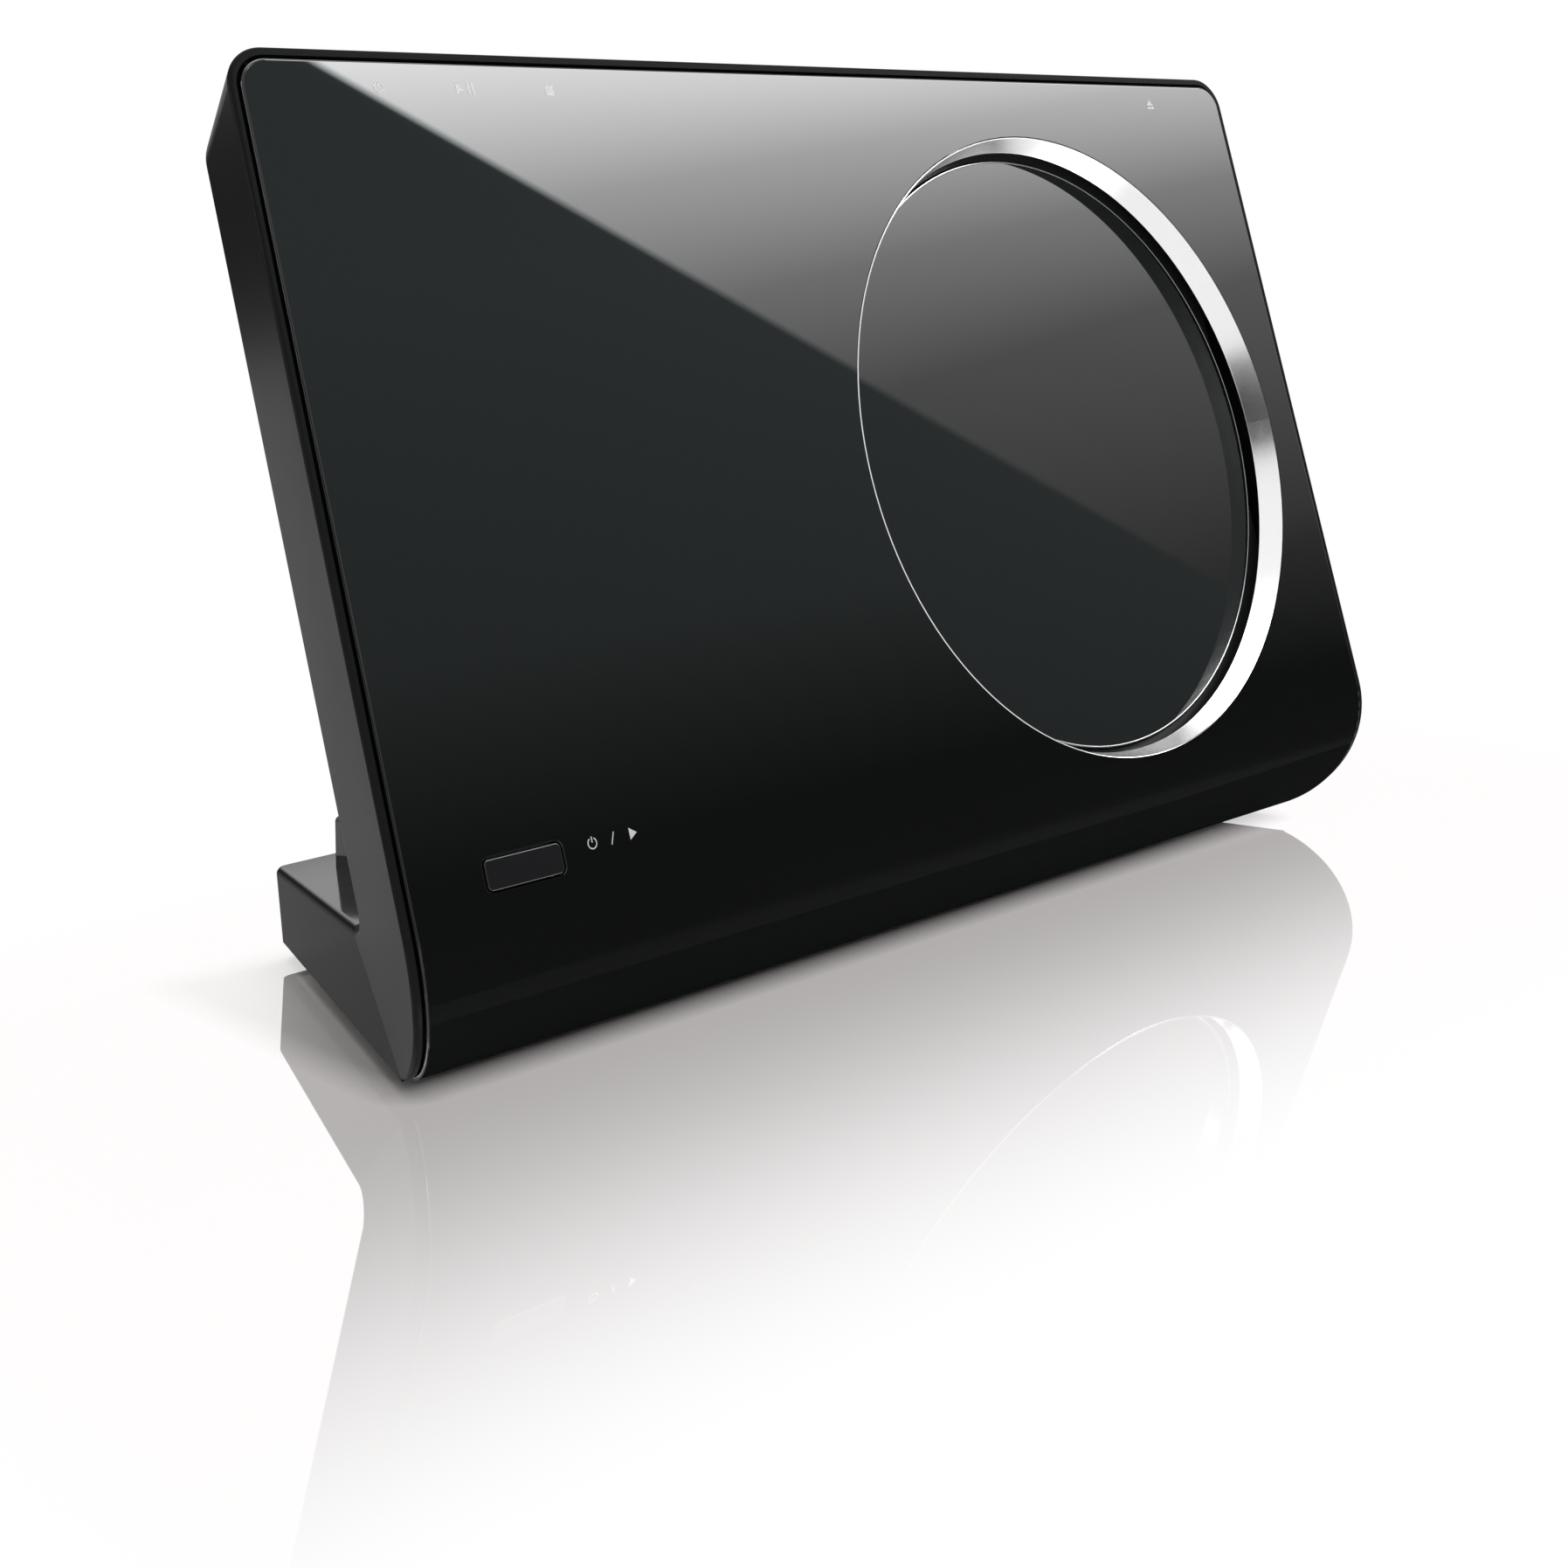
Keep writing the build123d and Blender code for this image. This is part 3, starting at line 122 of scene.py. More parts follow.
class Term:
    """A shader value that adds Math nodes as it is used in an expression."""

    def __init__(self, tree: NodeTree, socket: Socket) -> None:
        """Keeps the tree and the socket that gives the value."""
        self.tree = tree
        self.socket = socket

    def math(self, operation: str, *values: Term | float) -> Term:
        """Adds one Math node.

        Args:
            operation: The Math node's operation.
            values: What goes into its sockets, in order.

        Returns:
            The node's result.
        """
        sockets = dict(enumerate(values))
        node = add_node(self.tree, "ShaderNodeMath", {"operation": operation}, sockets)
        return Term(self.tree, node.outputs[0])

    def then(self, operation: str, *others: Term | float) -> Term:
        """Adds a Math node that starts with this value."""
        return self.math(operation, self, *others)

    def after(self, operation: str, first: float) -> Term:
        """Adds a Math node in which this value follows a number."""
        return self.math(operation, first, self)

    __add__ = partialmethod(then, "ADD")
    __radd__ = partialmethod(after, "ADD")
    __sub__ = partialmethod(then, "SUBTRACT")
    __rsub__ = partialmethod(after, "SUBTRACT")
    __mul__ = partialmethod(then, "MULTIPLY")
    __rmul__ = partialmethod(after, "MULTIPLY")
    __truediv__ = partialmethod(then, "DIVIDE")
    __pow__ = partialmethod(then, "POWER")
    __abs__ = partialmethod(then, "ABSOLUTE")
    fraction = partialmethod(then, "FRACT")
    over = partialmethod(then, "GREATER_THAN")
    highest = partialmethod(then, "MAXIMUM")

    def held(self, low: float, high: float) -> Term:
        """Keeps the value between two limits."""
        return self.math("MINIMUM", self.highest(low), high)

    def ramp(self, start: float, end: float) -> Term:
        """Runs from 0 at the start to 1 at the end, and stays there."""
        return ((self - start) / (end - start)).held(0.0, 1.0)

    def swing(self, amount: float) -> Term:
        """Turns noise into a drift of half the amount either side of 0."""
        return (self - 0.5) * amount


def add_node(
    tree: NodeTree,
    kind: str,
    settings: Mapping[str, Any] | None = None,
    sockets: Mapping[str | int, Any] | None = None,
) -> Node:
    """Adds a node to a tree.

    Args:
        tree: The shader or geometry tree.
        kind: The node's type name.
        settings: Its settings, set first.
        sockets: What goes into its sockets: a value, a Term or another node's socket.

    Returns:
        The new node.
    """
    made = tree.nodes.new(kind)
    for key, value in (settings or {}).items():
        setattr(made, key, value)
    for key, value in (sockets or {}).items():
        link = value.socket if isinstance(value, Term) else value
        if isinstance(link, Socket):
            tree.links.new(link, made.inputs[key])
        else:
            made.inputs[key].default_value = value
    return made


def new_object(name: str, data: bpy.types.ID) -> Thing:
    """Makes an object and puts it in the scene.

    Args:
        name: Its name.
        data: Its mesh, camera or light.

    Returns:
        The new object.
    """
    made = bpy.data.objects.new(name, data)
    bpy.context.scene.collection.objects.link(made)
    return made


def seen_directly(path: Node) -> Term:
    """Tells the eye, gloss and glass from light on dull surfaces.

    Args:
        path: A Light Path node.

    Returns:
        1 for a ray from the camera, from gloss or through glass, and 0 for any other.
    """
    names = ("Is Camera Ray", "Is Glossy Ray", "Is Transmission Ray")
    camera, gloss, glass = (Term(path.id_data, path.outputs[name]) for name in names)
    return (camera + gloss + glass).held(0.0, 1.0)


def tinted(colour: Colour, share: float) -> Colour:
    """Multiplies a colour's channels by a share, up to 1."""
    red, green, blue = (min(1.0, channel * share) for channel in colour)
    return red, green, blue


def arc_points(radius: float, start: float, end: float, steps: int) -> Outline:
    """Gives points along an arc between two angles in radians, one more than its steps."""
    angles = [start + (end - start) * step / steps for step in range(steps + 1)]
    return [(radius * math.cos(angle), radius * math.sin(angle)) for angle in angles]


def circle_points(radius: float, steps: int) -> Outline:
    """Gives points round a whole circle, without the first one twice."""
    return arc_points(radius, 0.0, math.tau, steps)[:-1]


class Recipe:
    """The node tree of one material."""

    def __init__(self, name: str) -> None:
        """Makes an empty material with an output.

        Args:
            name: The material's name.
        """
        self.material = bpy.data.materials.new(name)
        self.material.use_nodes = True
        self.tree = self.material.node_tree
        self.tree.nodes.clear()
        self.node = partial(add_node, self.tree)
        self.output = self.node("ShaderNodeOutputMaterial")
        self.place = self.node("ShaderNodeTexCoord").outputs["Object"]

    @property
    def face(self) -> Socket:
        """The surface's own normal."""
        return self.node("ShaderNodeNewGeometry").outputs["Normal"]

    def vector(self, operation: str, *values: Any) -> Node:
        """Adds a Vector Math node with these values in its sockets."""
        return self.node("ShaderNodeVectorMath", {"operation": operation}, dict(enumerate(values)))

    def term(self, node: Node, socket: str | int = 0) -> Term:
        """Wraps one of a node's outputs for use in an expression."""
        return Term(self.tree, node.outputs[socket])

    def noise(self, scale: float, detail: float = 2.0, stretch: Point | None = None) -> Term:
        """Adds noise over the surface.

        Args:
            scale: Cells to the metre.
            detail: How many finer layers are added.
            stretch: How much each axis is multiplied first, if at all.

        Returns:
            The noise, from 0 to 1.
        """
        place = self.place
        if stretch:
            sockets = {"Vector": place, "Scale": stretch}
            place = self.node("ShaderNodeMapping", None, sockets).outputs[0]
        sockets = {"Vector": place, "Scale": scale, "Detail": detail}
        return self.term(self.node("ShaderNodeTexNoise", None, sockets))

    def polish(self) -> tuple[Term, Term]:
        """Gives the slow haze and the specks of dust on a polished surface."""
        return self.noise(14.0, 4.0), self.noise(1400.0, 2.0).ramp(0.68, 0.8)

    def along(self, way: Sequence[float], origin: Sequence[float] = (0.0, 0.0, 0.0)) -> Term:
        """Measures the surface along a direction from an origin, in metres."""
        shift = self.vector("SUBTRACT", self.place, tuple(origin)).outputs[0]
        return self.term(self.vector("DOT_PRODUCT", shift, tuple(way)), "Value")

    def facing(self, direction: Sequence[float]) -> Term:
        """Is 1 where the surface faces a direction of unit length and -1 where it faces away."""
        return self.term(self.vector("DOT_PRODUCT", self.face, tuple(direction)), "Value")

    def mix(self, low: Colour | Socket, high: Colour, share: Term) -> Socket:
        """Mixes two colours.

        Args:
            low: The colour where the share is 0.
            high: The colour where the share is 1.
            share: How much of the second colour shows.

        Returns:
            The mixed colour's socket.
        """
        first = low if isinstance(low, Socket) else (*low, 1.0)
        sockets = {0: share, 6: first, 7: (*high, 1.0)}
        return self.node("ShaderNodeMix", {"data_type": "RGBA"}, sockets).outputs[2]

    def shades(self, colour: Colour, dark: float, light: float, share: Term) -> Socket:
        """Mixes two shades of one colour, each made by multiplying it."""
        return self.mix(tinted(colour, dark), tinted(colour, light), share)

    def bump(
        self, height: Term, strength: float, distance: float, face: Socket | None = None
    ) -> Socket:
        """Turns a height into a bumped normal.

        Args:
            height: The height, from 0 to 1.
            strength: How strong the bump is.
            distance: What a height of 1 measures, in metres.
            face: The normal that the bump starts from, if it isn't the surface's own.

        Returns:
            The normal's socket.
        """
        sockets = {"Height": height, "Strength": strength, "Distance": distance}
        if face is not None:
            sockets["Normal"] = face
        return self.node("ShaderNodeBump", None, sockets).outputs[0]

    def end(self, last: Node) -> Material:
        """Ends the material in the node that gives its surface."""
        self.tree.links.new(last.outputs[0], self.output.inputs[0])
        return self.material


@dataclass(frozen=True)
class Finish:
    """A material that varies over the surface.

    Attributes:
        name: The material's name.
        colour: Its main colour.
    """

    name: str
    colour: Colour

    def look(self, recipe: Recipe) -> dict[str, Any]:
        """Gives what goes into the Principled shader.

        Args:
            recipe: The material that is being made.

        Returns:
            A value or a socket for each of the shader's inputs in use.
        """
        raise NotImplementedError

    @cache
    def make(self) -> Material:
        """Makes the material, once for each finish."""
        recipe = Recipe(self.name)
        return recipe.end(recipe.node("ShaderNodeBsdfPrincipled", None, self.look(recipe)))


@dataclass(frozen=True)
class MouldedPlastic(Finish):
    """Satin plastic from a spark-eroded mould, with a fine even grain.

    Attributes:
        roughness: Its middle roughness.
        grain: Grain cells to the metre.
        depth: How deep the grain is, in metres.
        haze: How much the roughness drifts over the surface.
        specular: The shader's specular level.
    """

    roughness: float
    grain: float = 3200.0
    depth: float = 0.00003
    haze: float = 0.08
    specular: float = 0.5

    def look(self, recipe: Recipe) -> dict[str, Any]:
        """A slow drift and a fine grain."""
        drift = recipe.noise(22.0, 3.0)
        grain = recipe.noise(self.grain, 1.0)
        shade = drift * 0.7 + grain * 0.3
        return {
            "Base Color": recipe.shades(self.colour, 0.86, 1.14, shade),
            "Roughness": self.roughness + drift.swing(self.haze) + grain.swing(0.1),
            "Specular IOR Level": self.specular,
            "Normal": recipe.bump(grain, 0.35, self.depth),
        }


@dataclass(frozen=True)
class GlossLacquer(Finish):
    """Deep gloss plastic with the faint ripple and haze of a polished moulding, and a clear coat on
    faces that point up, which is a painted sheen on the tops.

    Attributes:
        roughness: Its middle roughness.
        specular: The shader's specular level.
        ripple: How deep the ripple is, in metres.
        top_sheen_coat: The clear coat's weight where the surface faces up, a painted sheen that
            brightens the tops.
    """

    roughness: float = 0.03
    specular: float = 0.5
    ripple: float = 0.0000005
    top_sheen_coat: float = 0.0

    def look(self, recipe: Recipe) -> dict[str, Any]:
        """Haze, dust, a faint ripple and a painted sheen on the tops."""
        haze, dust = recipe.polish()
        wave = recipe.noise(120.0, 1.0)
        return {
            "Base Color": recipe.shades(self.colour, 1.0, 1.5, haze * 0.6 + dust * 0.4),
            "Roughness": self.roughness + haze * 0.008 + dust * 0.015,
            "Specular IOR Level": self.specular,
            # A coat only on faces that point up: painted sheen on the tops.
            "Coat Weight": recipe.facing(UP).ramp(0.8, 0.95) * self.top_sheen_coat,
            "Coat Roughness": 0.08,
            "Normal": recipe.bump(wave, 0.06, self.ripple),
        }


@dataclass(frozen=True)
class CoatedPanel(Finish):
    """Black plastic under a clear gloss coat, which is turned down where the panel rolls under:
    painted shade that dims the roll's reflections so that it looks dark.

    Attributes:
        shaded_roll_coat: The coat's weight on the roll, turned down there as painted shade, where 1
            is a whole coat.
        roll_height: The height at which the coat is at its thinnest.
        flat_height: The height at which the coat is whole.
        edge: How far sideways a rounded edge faces where its coat starts and is whole.
        coat_roughness: The coat's roughness.
    """

    shaded_roll_coat: float = 0.006
    roll_height: float = 0.042
    flat_height: float = 0.078
    edge: Span = (0.2, 0.5)
    coat_roughness: float = 0.012

    def look(self, recipe: Recipe) -> dict[str, Any]:
        """Haze and dust under the coat, and painted shade on the roll."""
        haze, dust = recipe.polish()
        return {
            "Base Color": recipe.shades(self.colour, 1.0, 1.3, haze * 0.6 + dust * 0.4),
            "Roughness": 0.4 + haze * 0.1,
            "Specular IOR Level": 0.0,
            # The coat's weight falls on the roll as painted shade, so the roll's reflections look
            # dark.
            "Coat Weight": self.shaded_roll_coat + (1.0 - self.shaded_roll_coat) * self.cover(recipe),
            "Coat Roughness": self.coat_roughness,
        }

    def cover(self, recipe: Recipe) -> Term:
        """Is 1 where the coat is whole and 0 on the roll, where it is turned down most as painted
        shade.
        """
        flat = recipe.along(UP).ramp(self.roll_height, self.flat_height)
        return flat.highest(abs(recipe.facing(ACROSS)).ramp(*self.edge))


@dataclass(frozen=True)
class SparkleSilver(Finish):
    """Silver lacquer with fine bright flakes, on a face that is polished slightly convex.

    Attributes:
        roughness: Its middle roughness.
        crown: How far the polish turns the face outwards.
        rim: How bright the narrow flat rim is beside the face; below 1 it darkens the rim as
            painted shade.
        flakes: Flakes to the metre.
    """

    roughness: float
    crown: float = 0.0
    rim: float = 1.0
    flakes: float = 5200.0

    def look(self, recipe: Recipe) -> dict[str, Any]:
        """Flakes over a slow drift, and painted shade on the flat rim."""
        flake = recipe.noise(self.flakes, 1.0)
        drift = recipe.noise(60.0, 2.0)
        leant = recipe.vector("ADD", recipe.face, tuple(PANEL.out * self.crown)).outputs[0]
        turned = recipe.vector("NORMALIZE", leant).outputs[0]
        # The flat rim that faces straight out gets a darker colour: painted shade.
        flat = recipe.facing(PANEL.out).ramp(0.9, 0.98)
        bright = recipe.shades(self.colour, 0.8, 1.15, flake * 0.8 + drift * 0.2)
        return {
            "Base Color": recipe.mix(bright, tinted(self.colour, self.rim), flat),
            "Metallic": 1.0,
            "Roughness": self.roughness + flake.swing(0.1) + drift.swing(0.04),
            "Normal": recipe.bump(flake, 0.12, 0.00001, turned),
        }


@dataclass(frozen=True)
class DrawnMetal(Finish):
    """Bright drawn or rolled metal with fine lines along one direction.

    Attributes:
        roughness: Its middle roughness.
        stretch: How the lines are stretched on each axis.
    """

    roughness: float
    stretch: Point = (0.06, 1.0, 1.0)

    def look(self, recipe: Recipe) -> dict[str, Any]:
        """Fine lines and stains."""
        lines = recipe.noise(3600.0, 3.0, self.stretch)
        stain = recipe.noise(160.0, 3.0)
        return {
            "Base Color": recipe.shades(self.colour, 0.85, 1.08, lines * 0.5 + stain * 0.5),
            "Metallic": 1.0,
            "Roughness": self.roughness + lines.swing(0.16) + stain.swing(0.08),
            "Normal": recipe.bump(lines, 0.1, 0.00001),
        }


@dataclass(frozen=True)
class SoftRubber(Finish):
    """Dull rubber with a pebbled skin and a little bloom."""

    def look(self, recipe: Recipe) -> dict[str, Any]:
        """Bloom over pebbles."""
        bloom = recipe.noise(260.0, 4.0)
        pebble = recipe.noise(4600.0, 1.0)
        return {
            "Base Color": recipe.shades(self.colour, 1.0, 2.0, bloom.ramp(0.45, 0.8) * 0.6),
            "Roughness": 0.72 + bloom.swing(0.2),
            "Normal": recipe.bump(pebble, 0.4, 0.00004),
        }


@dataclass(frozen=True)
class BoardLaminate(Finish):
    """Circuit board under solder resist, with tracks and pads showing through.

    Attributes:
        track: The colour over a track.
    """

    track: Colour

    def look(self, recipe: Recipe) -> dict[str, Any]:
        """Broken tracks and round pads."""
        bends = recipe.noise(90.0, 1.0)
        rows = (recipe.along(ACROSS) + bends * 0.012) * 900.0
        broken = recipe.noise(160.0, 2.0).over(0.48)
        tracks = rows.fraction().over(0.55) * broken
        cells = recipe.node("ShaderNodeTexVoronoi", None, {"Vector": recipe.place, "Scale": 320.0})
        pads = 1.0 - recipe.term(cells, "Distance").over(0.16)
        return {
            "Base Color": recipe.mix(self.colour, self.track, tracks * 0.5 + pads * 0.5),
            "Roughness": 0.36 - tracks * 0.08 + bends * 0.1,
            "Normal": recipe.bump(tracks, 0.3, 0.00004),
        }


@dataclass(frozen=True)
class CoatedLens(Finish):
    """Small coated lens with a cool reflection.

    Attributes:
        centre: The lens's middle.
        radius: The clear aperture's radius.
    """

    centre: Point
    radius: float = 0.0024

    def look(self, recipe: Recipe) -> dict[str, Any]:
        """A clear middle in a dull mount."""
        reach = recipe.term(recipe.vector("DISTANCE", recipe.place, self.centre), "Value")
        mount = reach.ramp(self.radius, self.radius * 1.08)
        film = recipe.noise(900.0, 2.0)
        return {
            "Base Color": recipe.mix(self.colour, (0.02, 0.02, 0.022), mount * 0.9 + film * 0.1),
            "Roughness": 0.03 + mount * 0.35 + film * 0.02,
            "Coat Weight": 1.0 - mount,
        }


@dataclass(frozen=True)
class PrintedInk(Finish):
    """Thin screen-printed ink."""

    def look(self, recipe: Recipe) -> dict[str, Any]:
        """The print's mesh and patches."""
        mesh = recipe.noise(5200.0, 2.0)
        patch = recipe.noise(300.0, 2.0)
        return {
            "Base Color": recipe.shades(self.colour, 0.82, 1.1, mesh * 0.5 + patch * 0.5),
            "Roughness": 0.45 + mesh.swing(0.15),
            "Normal": recipe.bump(mesh, 0.2, 0.00001),
        }


class Piecework:
    """Turns vertices and faces into finished pieces that ride on the frame's bodies."""

    @staticmethod
    def piece(name: str, mesh: Mesh, material: Material, smooth: float = 35.0) -> Thing:
        """Makes an object of a mesh, cleans it and gives it its finish.

        Args:
            name: The piece's name.
            mesh: Its mesh, in place.
            material: Its finish.
            smooth: Edges sharper than this many degrees stay sharp.

        Returns:
            The new object.
        """
        work = bmesh.new()
        work.from_mesh(mesh)
        bmesh.ops.remove_doubles(work, verts=work.verts, dist=WELD)
        bmesh.ops.recalc_face_normals(work, faces=work.faces)
        work.to_mesh(mesh)
        work.free()
        for polygon in mesh.polygons:
            polygon.use_smooth = True
        mesh.set_sharp_from_angle(angle=math.radians(smooth))
        mesh.materials.clear()
        mesh.materials.append(material)
        return new_object(name, mesh)

    @staticmethod
    def settle(piece: Thing, body: str, slot: str = "", nodes: Iterable[str] = ()) -> None:
        """Sets a piece on its body.

        Args:
            piece: The piece.
            body: The body that it moves with.
            slot: Not used.
            nodes: The solids that it stands for.
        """
        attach(piece, body)
        if nodes:
            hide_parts(*nodes)
        log.info("%s rides on %s", piece.name, body)

    @staticmethod
    def prism(mesh: BMesh, outline: Outline, low: float, high: float, place: Matrix) -> None:
        """Adds a flat shape with a thickness.

        Args:
            mesh: The mesh that it is added to.
            outline: The shape's points in order, in metres.
            low: The height of its back.
            high: The height of its face.
            place: Where the shape's own plane lies.
        """
        back, face = (
            [mesh.verts.new(place @ Vector((*point, level))) for point in outline]
            for level in (low, high)
        )
        mesh.faces.new(list(reversed(back)))
        mesh.faces.new(face)
        Piecework.band(mesh, back, face)

    @staticmethod
    def band(
        mesh: BMesh, first: list[bmesh.types.BMVert], second: list[bmesh.types.BMVert]
    ) -> None:
        """Joins two closed rows of as many vertices with faces.

        Args:
            mesh: The mesh that they are in.
            first: One row.
            second: The other row.
        """
        count = len(first)
        for index in range(count):
            after = (index + 1) % count
            mesh.faces.new((first[index], first[after], second[after], second[index]))

    @staticmethod
    def lathe(profile: Sequence[Span], place: Matrix, segments: int) -> Mesh:
        """Turns a closed profile round the place's Z axis.

        Args:
            profile: Radius and height of each point, in order.
            place: Where the axis stands.
            segments: How many steps go round.

        Returns:
            The turned mesh.
        """

        def draw(work: BMesh) -> None:
            """Draws the rows of vertices and the faces between them."""
            rings = []
            for radius, height in profile:
                points = [Vector((x, y, height)) for x, y in circle_points(radius, segments)]
                rings.append([work.verts.new(place @ point) for point in points])
            for first, second in zip(rings, rings[1:] + rings[:1]):
                Piecework.band(work, first, second)
            bmesh.ops.remove_doubles(work, verts=work.verts, dist=WELD)

        return Piecework.mesh_of("turned", draw)

    @staticmethod
    def mesh_of(name: str, build: Callable[[BMesh], None]) -> Mesh:
        """Makes a mesh from a function that fills it.

        Args:
            name: The mesh's name.
            build: Adds vertices and faces to an empty mesh.

        Returns:
            The new mesh.
        """
        work = bmesh.new()
        build(work)
        bmesh.ops.recalc_face_normals(work, faces=work.faces)
        mesh = bpy.data.meshes.new(name)
        work.to_mesh(mesh)
        work.free()
        return mesh


@dataclass
class Repeater:
    """Sets one shape on each of many points with Geometry Nodes.

    Attributes:
        name: The tree's name.
        shape: The shape, round its own origin.
        turn: How each one is turned, in radians.
        material: The finish.
    """

    name: str
    shape: Mesh
    turn: Point
    material: Material

    def tree(self, pattern: Thing) -> tuple[NodeTree, dict[str, Any]]:
        """Makes the node tree.

        Args:
            pattern: The object that holds the shape.

        Returns:
            The tree, and the value of each named input by its socket's identifier.
        """
        tree = bpy.data.node_groups.new(self.name, "GeometryNodeTree")
        for way in ("INPUT", "OUTPUT"):
            tree.interface.new_socket("Geometry", in_out=way, socket_type="NodeSocketGeometry")
        named = {
            "Shape": ("Object", pattern),
            "Turn": ("Vector", self.turn),
            "Material": ("Material", self.material),
        }
        values = {}
        for name, (kind, value) in named.items():
            kind = "NodeSocket" + kind
            socket = tree.interface.new_socket(name, in_out="INPUT", socket_type=kind)
            values[socket.identifier] = value
        node = partial(add_node, tree)
        given = node("NodeGroupInput").outputs
        held = node("GeometryNodeObjectInfo", None, {"Object": given["Shape"]})
        spun = node("FunctionNodeEulerToRotation", None, {0: given["Turn"]})
        dots = node("GeometryNodeMeshToPoints", None, {"Mesh": given["Geometry"]})
        placed = node("GeometryNodeInstanceOnPoints", None, {
            "Points": dots.outputs[0],
            "Instance": held.outputs["Geometry"],
            "Rotation": spun.outputs[0],
        })
        real = node("GeometryNodeRealizeInstances", None, {0: placed.outputs[0]})
        sockets = {"Geometry": real.outputs[0], "Material": given["Material"]}
        dressed = node("GeometryNodeSetMaterial", None, sockets)
        node("NodeGroupOutput", None, {0: dressed.outputs[0]})
        return tree, values

    def spread(self, points: Sequence[Vector]) -> Mesh:
        """Repeats the shape.

        Args:
            points: Where it goes.

        Returns:
            One plain mesh of all of them.
        """
        source = bpy.data.meshes.new(self.name + "_points")
        source.from_pydata([tuple(point) for point in points], [], [])
        pattern = new_object(self.name + "_shape", self.shape)
        holder = new_object("holder", source)
        modifier = holder.modifiers.new("tree", "NODES")
        modifier.node_group, values = self.tree(pattern)
        for identifier, value in values.items():
            modifier[identifier] = value
        graph = bpy.context.evaluated_depsgraph_get()
        mesh = bpy.data.meshes.new_from_object(holder.evaluated_get(graph))
        holder.modifiers.remove(modifier)
        for used in (holder, pattern):
            bpy.data.objects.remove(used)
        return mesh


class Sign(Enum):
    """The generic signs printed beside the keys and the window."""

    STANDBY = "standby"
    PLAY_PAUSE = "play_pause"
    STOP = "stop"
    OPEN = "open"
    SLASH = "slash"
    PLAY = "play"


@dataclass(frozen=True)
class SignPrinter:
    """Draws the signs as thin raised ink.

    Attributes:
        height: A sign's height.
        stroke: The width of a line.
        lift: How far the ink stands off the panel.
        arc_steps: How many steps a curved stroke has.
    """

    height: float = 2.3 * MM
    stroke: float = 0.26 * MM
    lift: float = 0.03 * MM
    arc_steps: int = 28

    def arc(self, radius: float, start: float, end: float) -> Outline:
        """Draws a curved stroke.

        Args:
            radius: The radius of its middle.
            start: Where it starts, in degrees.
            end: Where it ends, in degrees.

        Returns:
            The stroke's outline.
        """
        half = self.stroke / 2
        far, near = (
            arc_points(edge, math.radians(start), math.radians(end), self.arc_steps)
            for edge in (radius + half, radius - half)
        )
        return far + near[::-1]

    @staticmethod
    def bar(left: float, low: float, right: float, high: float) -> Outline:
        """Draws an upright rectangle."""
        return [(left, low), (right, low), (right, high), (left, high)]

    def outlines(self, sign: Sign) -> list[Outline]:
        """Gives a sign's shapes round its middle.

        Args:
            sign: Which sign.

        Returns:
            The outlines of its separate shapes.
        """
        half = self.height / 2
        line = self.stroke
        if sign is Sign.STANDBY:
            upright = self.bar(-line / 2, 0.1 * half, line / 2, 1.1 * half)
            return [self.arc(half - line / 2, 120.0, 420.0), upright]
        if sign is Sign.SLASH:
            foot, head = -0.5 * half, 0.5 * half
            return [[(foot, -half), (foot + line, -half), (head, half), (head - line, half)]]
        if sign is Sign.PLAY:
            return [[(-0.7 * half, -half), (0.9 * half, 0.0), (-0.7 * half, half)]]
        if sign is Sign.PLAY_PAUSE:
            triangle = [(-2.1 * half, -half), (-0.5 * half, 0.0), (-2.1 * half, half)]
            bars = [self.bar(x * half, -half, (x + 0.42) * half, half) for x in (0.3, 1.15)]
            return [triangle, *bars]
        if sign is Sign.STOP:
            return [self.bar(-0.85 * half, -0.85 * half, 0.85 * half, 0.85 * half)]
        triangle = [(-1.1 * half, -0.25 * half), (1.1 * half, -0.25 * half), (0.0, half)]
        return [triangle, self.bar(-1.1 * half, -half, 1.1 * half, -0.6 * half)]


@dataclass
class FrontFace:
    """The signs printed on the gloss panel.

    Attributes:
        sign_row: How far up the panel the keys' signs are.
        sign_places: Each sign's place across the panel.
        note_row: How far up the panel the signs beside the window are.
        note_places: The place across the panel of each of those.
        note_printer: What draws those.
    """

    sign_row: float = 81.0 * MM
    sign_places: tuple[tuple[Sign, float], ...] = (
        (Sign.STANDBY, -176.2 * MM),
        (Sign.PLAY_PAUSE, -156.3 * MM),
        (Sign.STOP, -136.2 * MM),
        (Sign.OPEN, 54.2 * MM),
    )
    note_row: float = -60.6 * MM
    note_places: tuple[tuple[Sign, float], ...] = (
        (Sign.STANDBY, -164.2 * MM),
        (Sign.SLASH, -159.4 * MM),
        (Sign.PLAY, -154.6 * MM),
    )
    note_printer: SignPrinter = SignPrinter(2.2 * MM, 0.22 * MM)

    def build(self, ink: Material) -> None:
        """Prints the signs on the panel.

        Args:
            ink: The print's finish.
        """
        rows = (
            (SignPrinter(), self.sign_row, self.sign_places),
            (self.note_printer, self.note_row, self.note_places),
        )

        def draw(mesh: BMesh) -> None:
            """Draws all the signs in one mesh."""
            for printer, row, places in rows:
                for sign, across in places:
                    place = PANEL.matrix(across, row)
                    for outline in printer.outlines(sign):
                        Piecework.prism(mesh, outline, 0.0, printer.lift, place)

        signs = Piecework.piece("panel_signs", Piecework.mesh_of("panel_signs", draw), ink)
        Piecework.settle(signs, "casing")


